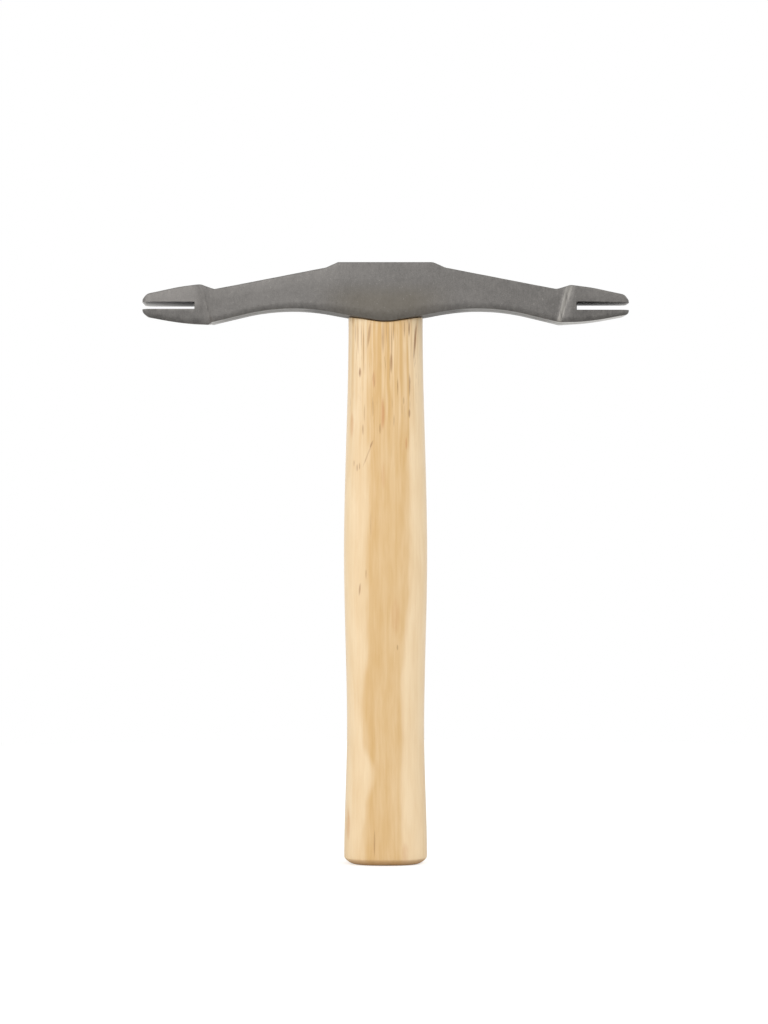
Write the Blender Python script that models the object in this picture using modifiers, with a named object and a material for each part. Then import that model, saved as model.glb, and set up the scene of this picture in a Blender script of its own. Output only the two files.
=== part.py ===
"""Double-ended scutch hammer: a forged head with a comb slot in each jaw, wedged on a wooden handle.

Metres, +Z up. The handle stands upright on its butt at the origin and the head lies along X.
"""

import math

import bmesh
import bpy
import numpy as np
from mathutils import Vector

MM = 0.001

# Fits
FIT_GAP = 0.3 * MM
CUT_MARGIN = 4 * MM
MERGE_DISTANCE = 0.01 * MM

# Handle
OVERALL_HEIGHT = 275 * MM
BUTT_WIDTH = 38.1 * MM
BUTT_DEPTH = 27.5 * MM
WAIST_WIDTH = 35.5 * MM
WAIST_DEPTH = 25.5 * MM
WAIST_HEIGHT = 62 * MM
SWELL_WIDTH = 38.3 * MM
SWELL_DEPTH = 27.5 * MM
SWELL_HEIGHT = 142 * MM
NECK_WIDTH = 34.1 * MM
NECK_DEPTH = 24.0 * MM
HANDLE_SQUARENESS = 2.4
BUTT_EASE_HEIGHT = 3.4 * MM
BUTT_EASE_INSET = 4.6 * MM
BUTT_EASE_POWER = 1.5
BUTT_EASE_STEPS = 6
HANDLE_STEPS = 26
HANDLE_SIDES = 36

# Comb slots: places along X are from the middle of the eye, drops are below the head's flat top
HEAD_LENGTH = 222 * MM
SLOT_HEIGHT = 3.2 * MM
SLOT_LENGTH = 24 * MM
SLOT_DROP = 19.8 * MM

# Jaws, thickness above and below the slot and places behind its seat
JAW_DEPTH = 25.4 * MM
UPPER_JAW_THICKNESS = 8.25 * MM
UPPER_JAW_MIDDLE = 6.95 * MM
UPPER_JAW_NOSE = 4.3 * MM
UPPER_JAW_TIP = 0.9 * MM
LOWER_JAW_THICKNESS = 5.9 * MM
LOWER_JAW_TIP = 2.05 * MM
JAW_TOP_SETBACK = 2.9 * MM
JAW_TOP_ROUND = 4 * MM
JAW_MIDDLE_REACH = 7 * MM
JAW_MIDDLE_ROUND = 60 * MM
JAW_RAMP = 6 * MM
JAW_RAMP_DROP = 1.95 * MM
JAW_RAMP_ROUND = 4.5 * MM
HEEL_SETBACK = 7.2 * MM
HEEL_ROUND = 6 * MM
BELLY_LENGTH = 13 * MM
BELLY_RISE = 0.45 * MM
BELLY_ROUND = 110 * MM
NOSE_LENGTH = 4.5 * MM
NOSE_BACK_ROUND = 6 * MM
NOSE_TOP_ROUND = 1.2 * MM
NOSE_BOTTOM_ROUND = 3 * MM
NOSE_SIDE_ROUND = 2.5 * MM
JAW_FACE_SETBACK = 1.4 * MM
JAW_FACE_RAMP = 6.4 * MM
JAW_FACE_STEPS = 6

# Eye block and arms
EYE_BLOCK_TOP_LENGTH = 43.6 * MM
EYE_BLOCK_DEPTH = 28 * MM
CHEEK_LENGTH = 32 * MM
SHOULDER_RUN = 5.4 * MM
SHOULDER_DROP = 2.4 * MM
SHOULDER_ROUND = 6 * MM
ARM_DEPTH = 20 * MM
LOBE_DROP = 27.2 * MM
LOBE_ROUND = 30 * MM
ARCH_X = 45 * MM
ARCH_DROP = 18.9 * MM
ARCH_ROUND = 96 * MM
TOP_CROWN_INSET = 0.4 * MM
TOP_CROWN_HEIGHT = 2.2 * MM
BOTTOM_CROWN_INSET = 1.2 * MM
BOTTOM_CROWN_HEIGHT = 4.5 * MM
CROWN_STEPS = 3
CHORD_ERROR = 0.02 * MM
FILLET_SHARE = 0.62
STATION_SPACING = 0.45 * MM

# Eye and tenon
EYE_LENGTH = 28.5 * MM
EYE_WIDTH = 17.5 * MM
EYE_FLARE = 2.2 * MM
EYE_SQUARENESS = 3
EYE_CHAMFER = 0.9 * MM
EYE_SIDES = 40
TENON_SINK = 0.4 * MM
TENON_ROOT = 12 * MM

# Wedges
STEEL_WEDGE_LENGTH = 13 * MM
STEEL_WEDGE_THICKNESS = 2.4 * MM
STEEL_WEDGE_TIP = 0.7 * MM
STEEL_WEDGE_SPACING = 13 * MM
STEEL_WEDGE_WALL = 2.2 * MM
WOOD_WEDGE_TAIL = 7 * MM
WOOD_WEDGE_THICKNESS = 3.6 * MM
WOOD_WEDGE_TIP = 0.8 * MM

# Looks: linear colour, roughness, metallic
STEEL_LOOK = ((0.20, 0.19, 0.18), 0.5, 0.9)
WEDGE_STEEL_LOOK = ((0.32, 0.31, 0.30), 0.4, 0.95)
HANDLE_WOOD_LOOK = ((0.79, 0.56, 0.31), 0.42, 0.0)
WEDGE_WOOD_LOOK = ((0.55, 0.33, 0.16), 0.6, 0.0)
SHARP_ANGLE = math.radians(28)

# Places that follow from the sizes above
TENON_TOP = OVERALL_HEIGHT - TENON_SINK
TIP_X = HEAD_LENGTH / 2
SLOT_SEAT_X = TIP_X - SLOT_LENGTH
SLOT_ROOF_DROP = SLOT_DROP - SLOT_HEIGHT / 2
SLOT_FLOOR_DROP = SLOT_DROP + SLOT_HEIGHT / 2
JAW_TOP_X = SLOT_SEAT_X - JAW_TOP_SETBACK
JAW_TOP_DROP = SLOT_ROOF_DROP - UPPER_JAW_THICKNESS
ARM_END_X = JAW_TOP_X - JAW_RAMP
JAW_FACE_X = SLOT_SEAT_X - JAW_FACE_SETBACK
HEEL_X = SLOT_SEAT_X - HEEL_SETBACK
HEEL_DROP = SLOT_FLOOR_DROP + LOWER_JAW_THICKNESS
WOOD_WEDGE_LENGTH = STEEL_WEDGE_LENGTH + WOOD_WEDGE_TAIL
STEEL_WEDGE_WIDTH = EYE_WIDTH - 2 * (STEEL_WEDGE_WALL + FIT_GAP)


def clear_scene():
    """Removes every object that the scene starts with."""
    for thing in list(bpy.data.objects):
        bpy.data.objects.remove(thing, do_unlink=True)


def new_collection(name):
    """Returns a new collection of the scene."""
    collection = bpy.data.collections.new(name)
    bpy.context.scene.collection.children.link(collection)
    return collection


def new_material(name, look):
    """Returns a Principled material from a (colour, roughness, metallic) look."""
    colour, roughness, metallic = look
    material = bpy.data.materials.new(name)
    material.use_nodes = True
    shader = material.node_tree.nodes["Principled BSDF"]
    shader.inputs["Base Color"].default_value = (*colour, 1.0)
    shader.inputs["Roughness"].default_value = roughness
    shader.inputs["Metallic"].default_value = metallic
    return material


def add_object(name, mesh, collection, parent, height=0.0):
    """Places a mesh on the hammer's axis at a height, under the parent."""
    thing = bpy.data.objects.new(name, mesh)
    thing.location.z = height
    thing.parent = parent
    collection.objects.link(thing)
    return thing


def as_cutter(thing):
    """Marks an object as a tool that shapes other pieces."""
    thing.hide_render = True
    thing.display_type = "WIRE"
    return thing


def combine(thing, other, operation):
    """Adds a Boolean of another object to a piece."""
    modifier = thing.modifiers.new(other.name, "BOOLEAN")
    modifier.object = other
    modifier.operation = operation
    modifier.solver = "EXACT"


def finish(thing, material):
    """Gives a piece its material and smooth shading between its sharp edges."""
    thing.data.materials.append(material)
    thing.data.shade_smooth()
    thing.data.set_sharp_from_angle(angle=SHARP_ANGLE)


def loft(name, rings, cap_start=True):
    """Skins a mesh through rings that turn counter-clockwise as seen from the last one."""
    shell = bmesh.new()
    rows = [[shell.verts.new(point) for point in ring] for ring in rings]
    for row, following in zip(rows, rows[1:]):
        for i in range(len(row)):
            j = (i + 1) % len(row)
            shell.faces.new((row[i], row[j], following[j], following[i]))
    if cap_start:
        shell.faces.new(reversed(rows[0]))
    shell.faces.new(rows[-1])
    mesh = bpy.data.meshes.new(name)
    shell.to_mesh(mesh)
    shell.free()
    return mesh


def prism(name, outline, depth):
    """Extrudes an outline of (x, z) points, counter-clockwise from the front, evenly about Y = 0."""
    front = [Vector((x, -depth / 2, z)) for x, z in outline]
    back = [Vector((x, depth / 2, z)) for x, z in outline]
    return loft(name, [list(reversed(front)), list(reversed(back))])


def smooth_step(start, end, place):
    """Returns 0 at start, 1 at end and an even S-curve between them."""
    share = min(max((place - start) / (end - start), 0.0), 1.0)
    return share * share * (3.0 - 2.0 * share)


def oval(length, width, squareness, sides, height):
    """Returns a ring of a superellipse in a level plane."""
    ring = []
    for i in range(sides):
        angle = math.tau * i / sides
        across, along = math.cos(angle), math.sin(angle)
        x = math.copysign(abs(across) ** (2 / squareness), across) * length / 2
        y = math.copysign(abs(along) ** (2 / squareness), along) * width / 2
        ring.append(Vector((x, y, height)))
    return ring


def filleted(corners):
    """Returns a polyline whose (x, drop, radius) corners are round. The end corners only give direction."""
    points = []
    for before, corner, after in zip(corners, corners[1:], corners[2:]):
        here, radius = Vector(corner[:2]), corner[2]
        back = (Vector(before[:2]) - here).normalized()
        ahead = (Vector(after[:2]) - here).normalized()
        half = back.angle(ahead) / 2
        room = min((Vector(before[:2]) - here).length, (Vector(after[:2]) - here).length)
        radius = min(radius, FILLET_SHARE * room * math.tan(half))
        centre = here + (back + ahead).normalized() * radius / math.sin(half)
        start = (here + back * radius / math.tan(half) - centre).normalized()
        end = (here + ahead * radius / math.tan(half) - centre).normalized()
        step = 2 * math.acos(1 - CHORD_ERROR / radius)
        steps = 2 * math.ceil((math.pi - 2 * half) / (2 * step))
        points.extend(centre + start.slerp(end, i / steps) * radius for i in range(steps + 1))
    return points


def head_top_outline():
    """Returns the top edge of the right half of the head, from the flat over the eye to the tip."""
    shoulder_x = EYE_BLOCK_TOP_LENGTH / 2
    corners = [
        (0, 0),
        (shoulder_x, 0, SHOULDER_ROUND),
        (shoulder_x + SHOULDER_RUN, SHOULDER_DROP, SHOULDER_ROUND),
        (ARM_END_X, JAW_TOP_DROP + JAW_RAMP_DROP, JAW_RAMP_ROUND),
        (JAW_TOP_X, JAW_TOP_DROP, JAW_TOP_ROUND),
        (SLOT_SEAT_X + JAW_MIDDLE_REACH, SLOT_ROOF_DROP - UPPER_JAW_MIDDLE, JAW_MIDDLE_ROUND),
        (TIP_X - NOSE_LENGTH, SLOT_ROOF_DROP - UPPER_JAW_NOSE, NOSE_BACK_ROUND),
        (TIP_X, SLOT_ROOF_DROP - UPPER_JAW_TIP, NOSE_TOP_ROUND),
        (TIP_X, SLOT_DROP),
    ]
    return [Vector((0, 0)), *filleted(corners)]


def head_bottom_outline():
    """Returns the lower edge of the right half of the head, from the lobe over the handle to the tip."""
    corners = [
        (-ARCH_X, ARCH_DROP),
        (0, LOBE_DROP, LOBE_ROUND),
        (ARCH_X, ARCH_DROP, ARCH_ROUND),
        (HEEL_X, HEEL_DROP, HEEL_ROUND),
        (HEEL_X + BELLY_LENGTH, HEEL_DROP - BELLY_RISE, BELLY_ROUND),
        (TIP_X, SLOT_FLOOR_DROP + LOWER_JAW_TIP, NOSE_BOTTOM_ROUND),
        (TIP_X, SLOT_DROP),
    ]
    outline = [point for point in filleted(corners) if point.x > -STATION_SPACING]
    outline[0].x = 0.0
    return outline


def head_half_depth(x):
    """Returns half the head's depth: full at the cheeks, slim at the arm's neck, proud at the jaw's face."""
    depth = EYE_BLOCK_DEPTH
    depth += (ARM_DEPTH - EYE_BLOCK_DEPTH) * smooth_step(CHEEK_LENGTH / 2, ARM_END_X, x)
    rise = min(max(1 - (JAW_FACE_X - x) / JAW_FACE_RAMP, 0), 1)
    depth += (JAW_DEPTH - ARM_DEPTH) * rise ** 2
    turn = min(max(x - TIP_X + NOSE_SIDE_ROUND, 0), NOSE_SIDE_ROUND)
    return depth / 2 - NOSE_SIDE_ROUND + math.sqrt(NOSE_SIDE_ROUND ** 2 - turn ** 2)


def crown(height, reach, inset):
    """Returns (distance from the edge, inset) steps of a face that falls away towards an edge."""
    reach = min(reach, height / 2)
    steps = [i / CROWN_STEPS for i in range(CROWN_STEPS + 1)]
    return [(reach * step, inset * (1 - step) ** 2) for step in steps]


def head_section(top, bottom, half_depth):
    """Returns one ring of the head between a top and a bottom point, with crowned faces."""
    height = (top - bottom).length
    top_steps = crown(height, TOP_CROWN_HEIGHT, TOP_CROWN_INSET)
    bottom_steps = crown(height, BOTTOM_CROWN_HEIGHT, BOTTOM_CROWN_INSET)
    front = [(step / height, inset) for step, inset in top_steps]
    front += [(1 - step / height, inset) for step, inset in reversed(bottom_steps)]
    ring = [(top.lerp(bottom, share), inset - half_depth) for share, inset in front]
    ring += [(top.lerp(bottom, share), half_depth - inset) for share, inset in reversed(front)]
    return [Vector((place.x, y, -place.y)) for place, y in ring]


def head_mesh():
    """Returns the right half of the head, open at X = 0, lofted through its two outlines."""
    top, bottom = head_top_outline(), head_bottom_outline()
    top_x, top_drop = zip(*top)
    bottom_x, bottom_drop = zip(*bottom)
    top_keys = [0, ARM_END_X, JAW_TOP_X, SLOT_SEAT_X, TIP_X]
    bottom_keys = [0, ARM_END_X - JAW_TOP_X + HEEL_X, HEEL_X, SLOT_SEAT_X, TIP_X]
    face_step = JAW_FACE_RAMP / JAW_FACE_STEPS
    face = [JAW_FACE_X - i * face_step for i in range(JAW_FACE_STEPS + 1)]
    places = sorted([*top_x, *np.interp(bottom_x, bottom_keys, top_keys), *face])
    stations = [0.0]
    for place in places:
        if place - stations[-1] > STATION_SPACING:
            stations.append(place)
    stations[-1] = TIP_X
    rings = []
    for x in stations:
        low_x = float(np.interp(x, top_keys, bottom_keys))
        high = Vector((x, float(np.interp(x, top_x, top_drop))))
        low = Vector((low_x, float(np.interp(low_x, bottom_x, bottom_drop))))
        rings.append(head_section(high, low, head_half_depth(x)))
    return loft("head", rings, cap_start=False)


def eye_flare(drop):
    """Returns how much wider the eye is at a drop below the head's top than at its narrow lower end."""
    return EYE_FLARE * (1 - drop / LOBE_DROP)


def eye_ring(drop, grow):
    """Returns the eye's oval at a drop below the head's top, grown on every side."""
    more = eye_flare(drop) + 2 * grow
    return oval(EYE_LENGTH + more, EYE_WIDTH + more, EYE_SQUARENESS, EYE_SIDES, -drop)


def eye_cutter_mesh():
    """Returns the eye: flared towards the top, with a chamfered mouth."""
    rings = [
        eye_ring(LOBE_DROP + CUT_MARGIN, 0),
        eye_ring(EYE_CHAMFER, 0),
        eye_ring(-CUT_MARGIN, EYE_CHAMFER + CUT_MARGIN),
    ]
    return loft("eye", rings)


def slot_cutter_mesh(side):
    """Returns the comb slot of one jaw, right through from front to back and open at the tip."""
    left, right = sorted((side * SLOT_SEAT_X, side * (TIP_X + CUT_MARGIN)))
    low, high = -SLOT_FLOOR_DROP, -SLOT_ROOF_DROP
    outline = [(left, low), (right, low), (right, high), (left, high)]
    return prism("slot", outline, JAW_DEPTH + 2 * CUT_MARGIN)


def shoulder_cutter_mesh():
    """Returns the space that the head's underside takes from the handle, with the fit's gap."""
    reach = NECK_WIDTH / 2 + CUT_MARGIN
    lobe_x, lobe_drop = zip(*head_bottom_outline())
    places = [x for x in lobe_x if x < reach] + [reach]
    half = [(x, -float(np.interp(x, lobe_x, lobe_drop)) - FIT_GAP) for x in places]
    outline = [(-x, z) for x, z in reversed(half[1:])] + half
    outline += [(reach, CUT_MARGIN), (-reach, CUT_MARGIN)]
    return prism("shoulder", outline, NECK_DEPTH + 2 * CUT_MARGIN)


def handle_ring(height):
    """Returns the handle's oval at a height, from its butt, waist, swell and neck sizes."""
    neck_height = OVERALL_HEIGHT - LOBE_DROP
    width, depth = BUTT_WIDTH, BUTT_DEPTH
    for start, end, step_width, step_depth in (
        (BUTT_EASE_HEIGHT, WAIST_HEIGHT, WAIST_WIDTH - BUTT_WIDTH, WAIST_DEPTH - BUTT_DEPTH),
        (WAIST_HEIGHT, SWELL_HEIGHT, SWELL_WIDTH - WAIST_WIDTH, SWELL_DEPTH - WAIST_DEPTH),
        (SWELL_HEIGHT, neck_height, NECK_WIDTH - SWELL_WIDTH, NECK_DEPTH - SWELL_DEPTH),
    ):
        share = smooth_step(start, end, height)
        width += share * step_width
        depth += share * step_depth
    below = 1 - min(height / BUTT_EASE_HEIGHT, 1)
    inset = BUTT_EASE_INSET * (1 - (1 - below ** BUTT_EASE_POWER) ** (1 / BUTT_EASE_POWER))
    return oval(width - 2 * inset, depth - 2 * inset, HANDLE_SQUARENESS, HANDLE_SIDES, height)


def handle_mesh():
    """Returns the handle from its eased butt to above the head's underside."""
    top = OVERALL_HEIGHT - ARCH_DROP
    ease = [BUTT_EASE_HEIGHT * (i / BUTT_EASE_STEPS) ** 2 for i in range(BUTT_EASE_STEPS)]
    step = (top - BUTT_EASE_HEIGHT) / HANDLE_STEPS
    heights = ease + [BUTT_EASE_HEIGHT + i * step for i in range(HANDLE_STEPS + 1)]
    return loft("handle", [handle_ring(height) for height in heights])


def tenon_mesh():
    """Returns the tenon that fills the eye, rooted in the handle."""
    rings = [eye_ring(LOBE_DROP + TENON_ROOT, -FIT_GAP), eye_ring(TENON_SINK, -FIT_GAP)]
    return loft("tenon", rings)


def wedge_mesh(name, length, widths, thicknesses, across, grow=0.0, rise=0.0):
    """Returns a wedge that hangs below Z = 0, thin along Y, or along X where it lies across.

    Widths and thicknesses are at the top and at the tip. A cutter for the wedge grows on every side
    and rises past the top along the same slopes.
    """
    shell = bmesh.new()
    bmesh.ops.create_cube(shell, size=1.0)
    for vert in shell.verts:
        z = rise if vert.co.z > 0 else -length - grow
        width, thickness = (top + (top - tip) * z / length + 2 * grow for top, tip in (widths, thicknesses))
        spans = (thickness, width) if across else (width, thickness)
        vert.co = (vert.co.x * spans[0], vert.co.y * spans[1], z)
    mesh = bpy.data.meshes.new(name)
    shell.to_mesh(mesh)
    shell.free()
    return mesh


def wood_wedge_mesh():
    """Returns the wooden wedge, which spans the flared eye from end to end."""
    drops = (TENON_SINK, TENON_SINK + WOOD_WEDGE_LENGTH)
    widths = [EYE_LENGTH + eye_flare(drop) - 2 * FIT_GAP for drop in drops]
    thicknesses = (WOOD_WEDGE_THICKNESS, WOOD_WEDGE_TIP)
    return wedge_mesh("wood_wedge", WOOD_WEDGE_LENGTH, widths, thicknesses, across=False)


def kerf_mesh():
    """Returns the saw kerf for the wooden wedge, right through the tenon."""
    width = EYE_LENGTH + EYE_FLARE + CUT_MARGIN
    thicknesses = (WOOD_WEDGE_THICKNESS, WOOD_WEDGE_TIP)
    sizes = (WOOD_WEDGE_LENGTH, (width, width), thicknesses)
    return wedge_mesh("kerf", *sizes, across=False, grow=FIT_GAP, rise=CUT_MARGIN)


def steel_wedge_mesh(name, grow=0.0, rise=0.0):
    """Returns a steel wedge, or the pocket for it."""
    widths = (STEEL_WEDGE_WIDTH, STEEL_WEDGE_WIDTH)
    thicknesses = (STEEL_WEDGE_THICKNESS, STEEL_WEDGE_TIP)
    return wedge_mesh(name, STEEL_WEDGE_LENGTH, widths, thicknesses, across=True, grow=grow, rise=rise)


def build():
    """Builds the hammer: head, handle and the wedges that hold them together."""
    clear_scene()
    parts = new_collection("Scutch hammer")
    cutters = new_collection("Cutters")
    root = bpy.data.objects.new("scutch_hammer_root", None)
    parts.objects.link(root)

    def cutter(name, mesh, height):
        return as_cutter(add_object(name, mesh, cutters, root, height))

    head = add_object("head", head_mesh(), parts, root, OVERALL_HEIGHT)
    mirror = head.modifiers.new("both halves", "MIRROR")
    mirror.merge_threshold = MERGE_DISTANCE
    combine(head, cutter("eye_cutter", eye_cutter_mesh(), OVERALL_HEIGHT), "DIFFERENCE")
    for side, name in ((-1, "left"), (1, "right")):
        slot = cutter(f"slot_cutter_{name}", slot_cutter_mesh(side), OVERALL_HEIGHT)
        combine(head, slot, "DIFFERENCE")
    finish(head, new_material("forged_steel", STEEL_LOOK))

    handle = add_object("handle", handle_mesh(), parts, root)
    shoulder = cutter("shoulder_cutter", shoulder_cutter_mesh(), OVERALL_HEIGHT)
    combine(handle, shoulder, "DIFFERENCE")
    combine(handle, cutter("tenon", tenon_mesh(), OVERALL_HEIGHT), "UNION")
    combine(handle, cutter("kerf_cutter", kerf_mesh(), TENON_TOP), "DIFFERENCE")

    wood_wedge = add_object("wood_wedge", wood_wedge_mesh(), parts, root, TENON_TOP)
    wedge_steel = new_material("wedge_steel", WEDGE_STEEL_LOOK)
    for side, name in ((-1, "left"), (1, "right")):
        place = side * STEEL_WEDGE_SPACING / 2
        pocket = cutter(f"pocket_cutter_{name}", steel_wedge_mesh("pocket", FIT_GAP, CUT_MARGIN), TENON_TOP)
        pocket.location.x = place
        combine(handle, pocket, "DIFFERENCE")
        combine(wood_wedge, pocket, "DIFFERENCE")
        wedge_name = f"steel_wedge_{name}"
        wedge = add_object(wedge_name, steel_wedge_mesh(wedge_name), parts, root, TENON_TOP)
        wedge.location.x = place
        finish(wedge, wedge_steel)
    finish(handle, new_material("handle_wood", HANDLE_WOOD_LOOK))
    finish(wood_wedge, new_material("wedge_wood", WEDGE_WOOD_LOOK))


build()
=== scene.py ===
"""Looks of a double-ended scutch hammer: a forged, slotted head wedged on a lacquered wooden handle.

Metres, +Z up. The hammer stands on its butt at the origin, its head lies along X and its front faces -Y.
"""

import logging
import math
from collections.abc import Iterable, Mapping, Sequence
from dataclasses import dataclass, field
from enum import Enum
from itertools import pairwise
from typing import NamedTuple, Union

import bmesh
import bpy
import numpy as np
from mathutils import Matrix, Vector, noise


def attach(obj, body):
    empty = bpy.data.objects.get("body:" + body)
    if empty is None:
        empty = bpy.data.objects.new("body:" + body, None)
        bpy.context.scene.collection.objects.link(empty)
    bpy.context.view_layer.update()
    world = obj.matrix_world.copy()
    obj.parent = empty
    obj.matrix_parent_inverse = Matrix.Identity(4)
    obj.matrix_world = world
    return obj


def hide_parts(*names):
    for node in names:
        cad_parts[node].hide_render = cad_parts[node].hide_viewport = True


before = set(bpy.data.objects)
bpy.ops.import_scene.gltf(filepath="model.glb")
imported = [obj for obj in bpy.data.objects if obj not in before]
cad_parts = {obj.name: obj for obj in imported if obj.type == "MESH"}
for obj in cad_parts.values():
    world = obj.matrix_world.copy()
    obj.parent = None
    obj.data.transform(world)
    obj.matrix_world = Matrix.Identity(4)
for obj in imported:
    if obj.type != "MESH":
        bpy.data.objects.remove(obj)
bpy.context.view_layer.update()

LOG = logging.getLogger("scutch_hammer")
MM = 0.001
PER_METRE_MM = 1000.0
BODY = "root"
WELD_DISTANCE = 0.0005 * MM
SHARP_ANGLE = math.radians(38)
WEAR_ANGLE = math.radians(24)
WEAR_BLUR = 0.5
NOISE_MEAN = 0.5
WHITE = (1.0, 1.0, 1.0, 1.0)

Feed = Union["Signal", float, Sequence[float]]
Ring = list[Vector]
Profile = list[tuple[float, float]]


class Side(Enum):
    """The two ends of the head."""

    LEFT = -1
    RIGHT = 1


class Tone(NamedTuple):
    """A colour as a screen shows it, 0 to 255 a channel."""

    red: int
    green: int
    blue: int

    def linear(self) -> tuple[float, float, float, float]:
        """Returns the colour as light by the standard screen curve, with full alpha."""
        shares = [channel / 255 for channel in self]
        light = [s / 12.92 if s <= 0.04045 else ((s + 0.055) / 1.055) ** 2.4 for s in shares]
        return (light[0], light[1], light[2], 1.0)


class Grain(NamedTuple):
    """A noise: the size of its features along X, Y and Z in millimetres, its finer layers and their strength."""

    x: float
    y: float
    z: float
    detail: float = 2.0
    rough: float = 0.5


class Span(NamedTuple):
    """Where a blend starts and where it is full."""

    start: float
    end: float


class Signal:
    """One output socket of a node, used like a number in shader sums."""

    def __init__(self, bench: "Bench", socket: bpy.types.NodeSocket) -> None:
        """Keeps the socket and the bench that new nodes go on."""
        self.bench = bench
        self.socket = socket

    def other(self, name: str) -> "Signal":
        """Returns another output of the same node."""
        return Signal(self.bench, self.socket.node.outputs[name])

    def __add__(self, term: Feed) -> "Signal":
        """Returns self + term."""
        return self.bench.math("ADD", self, term)

    __radd__ = __add__

    def __sub__(self, term: Feed) -> "Signal":
        """Returns self - term."""
        return self.bench.math("SUBTRACT", self, term)

    def __rsub__(self, term: Feed) -> "Signal":
        """Returns term - self."""
        return self.bench.math("SUBTRACT", term, self)

    def __mul__(self, term: Feed) -> "Signal":
        """Returns self * term."""
        return self.bench.math("MULTIPLY", self, term)

    __rmul__ = __mul__

    def __neg__(self) -> "Signal":
        """Returns -self."""
        return self.bench.math("MULTIPLY", self, -1.0)

    def __abs__(self) -> "Signal":
        """Returns self without its sign."""
        return self.bench.math("ABSOLUTE", self)

    def most(self, term: Feed) -> "Signal":
        """Returns the larger of self and term."""
        return self.bench.math("MAXIMUM", self, term)

    def ease(self, start: float, end: float) -> "Signal":
        """Returns 0 at start, 1 at end and an S-curve between, whichever of the two is larger."""
        settings = {"interpolation_type": "SMOOTHSTEP"}
        feeds = {"Value": self, "From Min": start, "From Max": end}
        return self.bench.node("ShaderNodeMapRange", settings, feeds)

    def swing(self, share: Feed) -> "Signal":
        """Returns a noise's swing about its average, by a share."""
        return share * (self - NOISE_MEAN)


class Bench:
    """A node tree, with one method that adds any node to it."""

    def __init__(self, tree: bpy.types.NodeTree) -> None:
        """Starts work on a tree."""
        self.tree = tree

    def node(
        self,
        kind: str,
        settings: Mapping[str, object] | None = None,
        feeds: Mapping[str | int, Feed] | None = None,
        out: str | int = 0,
    ) -> Signal:
        """Adds a node.

        Args:
            kind: Blender's name for the node's type.
            settings: the node's own properties, set before its sockets.
            feeds: a value or a signal for each socket, by place, name or identifier.
            out: the output to give back.

        Returns:
            The chosen output of the new node.
        """
        made = self.tree.nodes.new(kind)
        for name, value in (settings or {}).items():
            setattr(made, name, value)
        self.fill(made, feeds or {})
        return Signal(self, self.socket(made.outputs, out))

    @staticmethod
    def socket(sockets: Sequence[bpy.types.NodeSocket], key: str | int) -> bpy.types.NodeSocket:
        """Finds a socket.

        Args:
            sockets: a node's inputs or outputs.
            key: the socket's place, identifier or name.

        Returns:
            The socket, by its identifier where one matches, because some names come more than once.
        """
        if isinstance(key, int):
            return sockets[key]
        return next((each for each in sockets if each.identifier == key), None) or sockets[key]

    def fill(self, node: bpy.types.Node, feeds: Mapping[str | int, Feed]) -> None:
        """Links signals to a node's sockets, or sets the sockets' own values.

        Args:
            node: the node.
            feeds: a value or a signal for each socket, by place, name or identifier.
        """
        for key, feed in feeds.items():
            socket = self.socket(node.inputs, key)
            if isinstance(feed, Signal):
                self.tree.links.new(feed.socket, socket)
            else:
                socket.default_value = feed

    def math(self, operation: str, *terms: Feed) -> Signal:
        """Adds a Math node over its terms."""
        return self.node("ShaderNodeMath", {"operation": operation}, dict(enumerate(terms)))

    def vector(self, operation: str, *terms: Feed) -> Signal:
        """Adds a Vector Math node over its terms."""
        return self.node("ShaderNodeVectorMath", {"operation": operation}, dict(enumerate(terms)))

    def dot(self, first: Feed, second: Feed) -> Signal:
        """Returns the dot product of two vectors."""
        return self.vector("DOT_PRODUCT", first, second).other("Value")

    def place(self) -> Signal:
        """Returns the place on the object in millimetres."""
        place = self.node("ShaderNodeTexCoord", out="Object")
        return self.vector("MULTIPLY", place, (PER_METRE_MM,) * 3)

    def axes(self, vector: Signal) -> tuple[Signal, Signal, Signal]:
        """Returns the three parts of a vector."""
        first = self.node("ShaderNodeSeparateXYZ", feeds={"Vector": vector}, out="X")
        return first, first.other("Y"), first.other("Z")

    def grain(self, place: Signal, grain: Grain) -> Signal:
        """Adds a noise.

        Args:
            place: where the noise is read, in millimetres.
            grain: what the noise is like.

        Returns:
            The noise, about 0.5 on average.
        """
        scaled = self.vector("DIVIDE", place, grain[:3])
        feeds = {"Vector": scaled, "Scale": 1.0, "Detail": grain.detail, "Roughness": grain.rough}
        return self.node("ShaderNodeTexNoise", {"noise_dimensions": "3D"}, feeds, "Fac")

    def attribute(self, name: str) -> Signal:
        """Returns a value that the mesh carries at its points."""
        return self.node("ShaderNodeAttribute", {"attribute_name": name}, out="Fac")

    def mix(self, factor: Feed, low: Feed, high: Feed) -> Signal:
        """Returns a colour between two colours, the second where the factor is 1."""
        feeds = {"Factor_Float": factor, "A_Color": low, "B_Color": high}
        return self.node("ShaderNodeMix", {"data_type": "RGBA"}, feeds, "Result_Color")

    def bump(self, height: Signal, depth: float, under: Signal | None = None) -> Signal:
        """Adds a relief.

        Args:
            height: the relief, from 0 to 1.
            depth: how deep the relief is, in metres.
            under: another relief that this one lies on.

        Returns:
            The normal for a shader.
        """
        feeds = {"Height": height, "Distance": depth, "Strength": 1.0}
        if under is not None:
            feeds["Normal"] = under
        return self.node("ShaderNodeBump", feeds=feeds)


class Finish:
    """What every finish shares: a material made from one Principled shader."""

    def start(self, name: str) -> tuple[bpy.types.Material, Bench, bpy.types.Node]:
        """Makes an empty material.

        Args:
            name: the material's name.

        Returns:
            The material, the bench for its nodes and its shader.
        """
        material = bpy.data.materials.new(name)
        material.use_nodes = True
        bench = Bench(material.node_tree)
        return material, bench, material.node_tree.nodes["Principled BSDF"]


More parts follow.
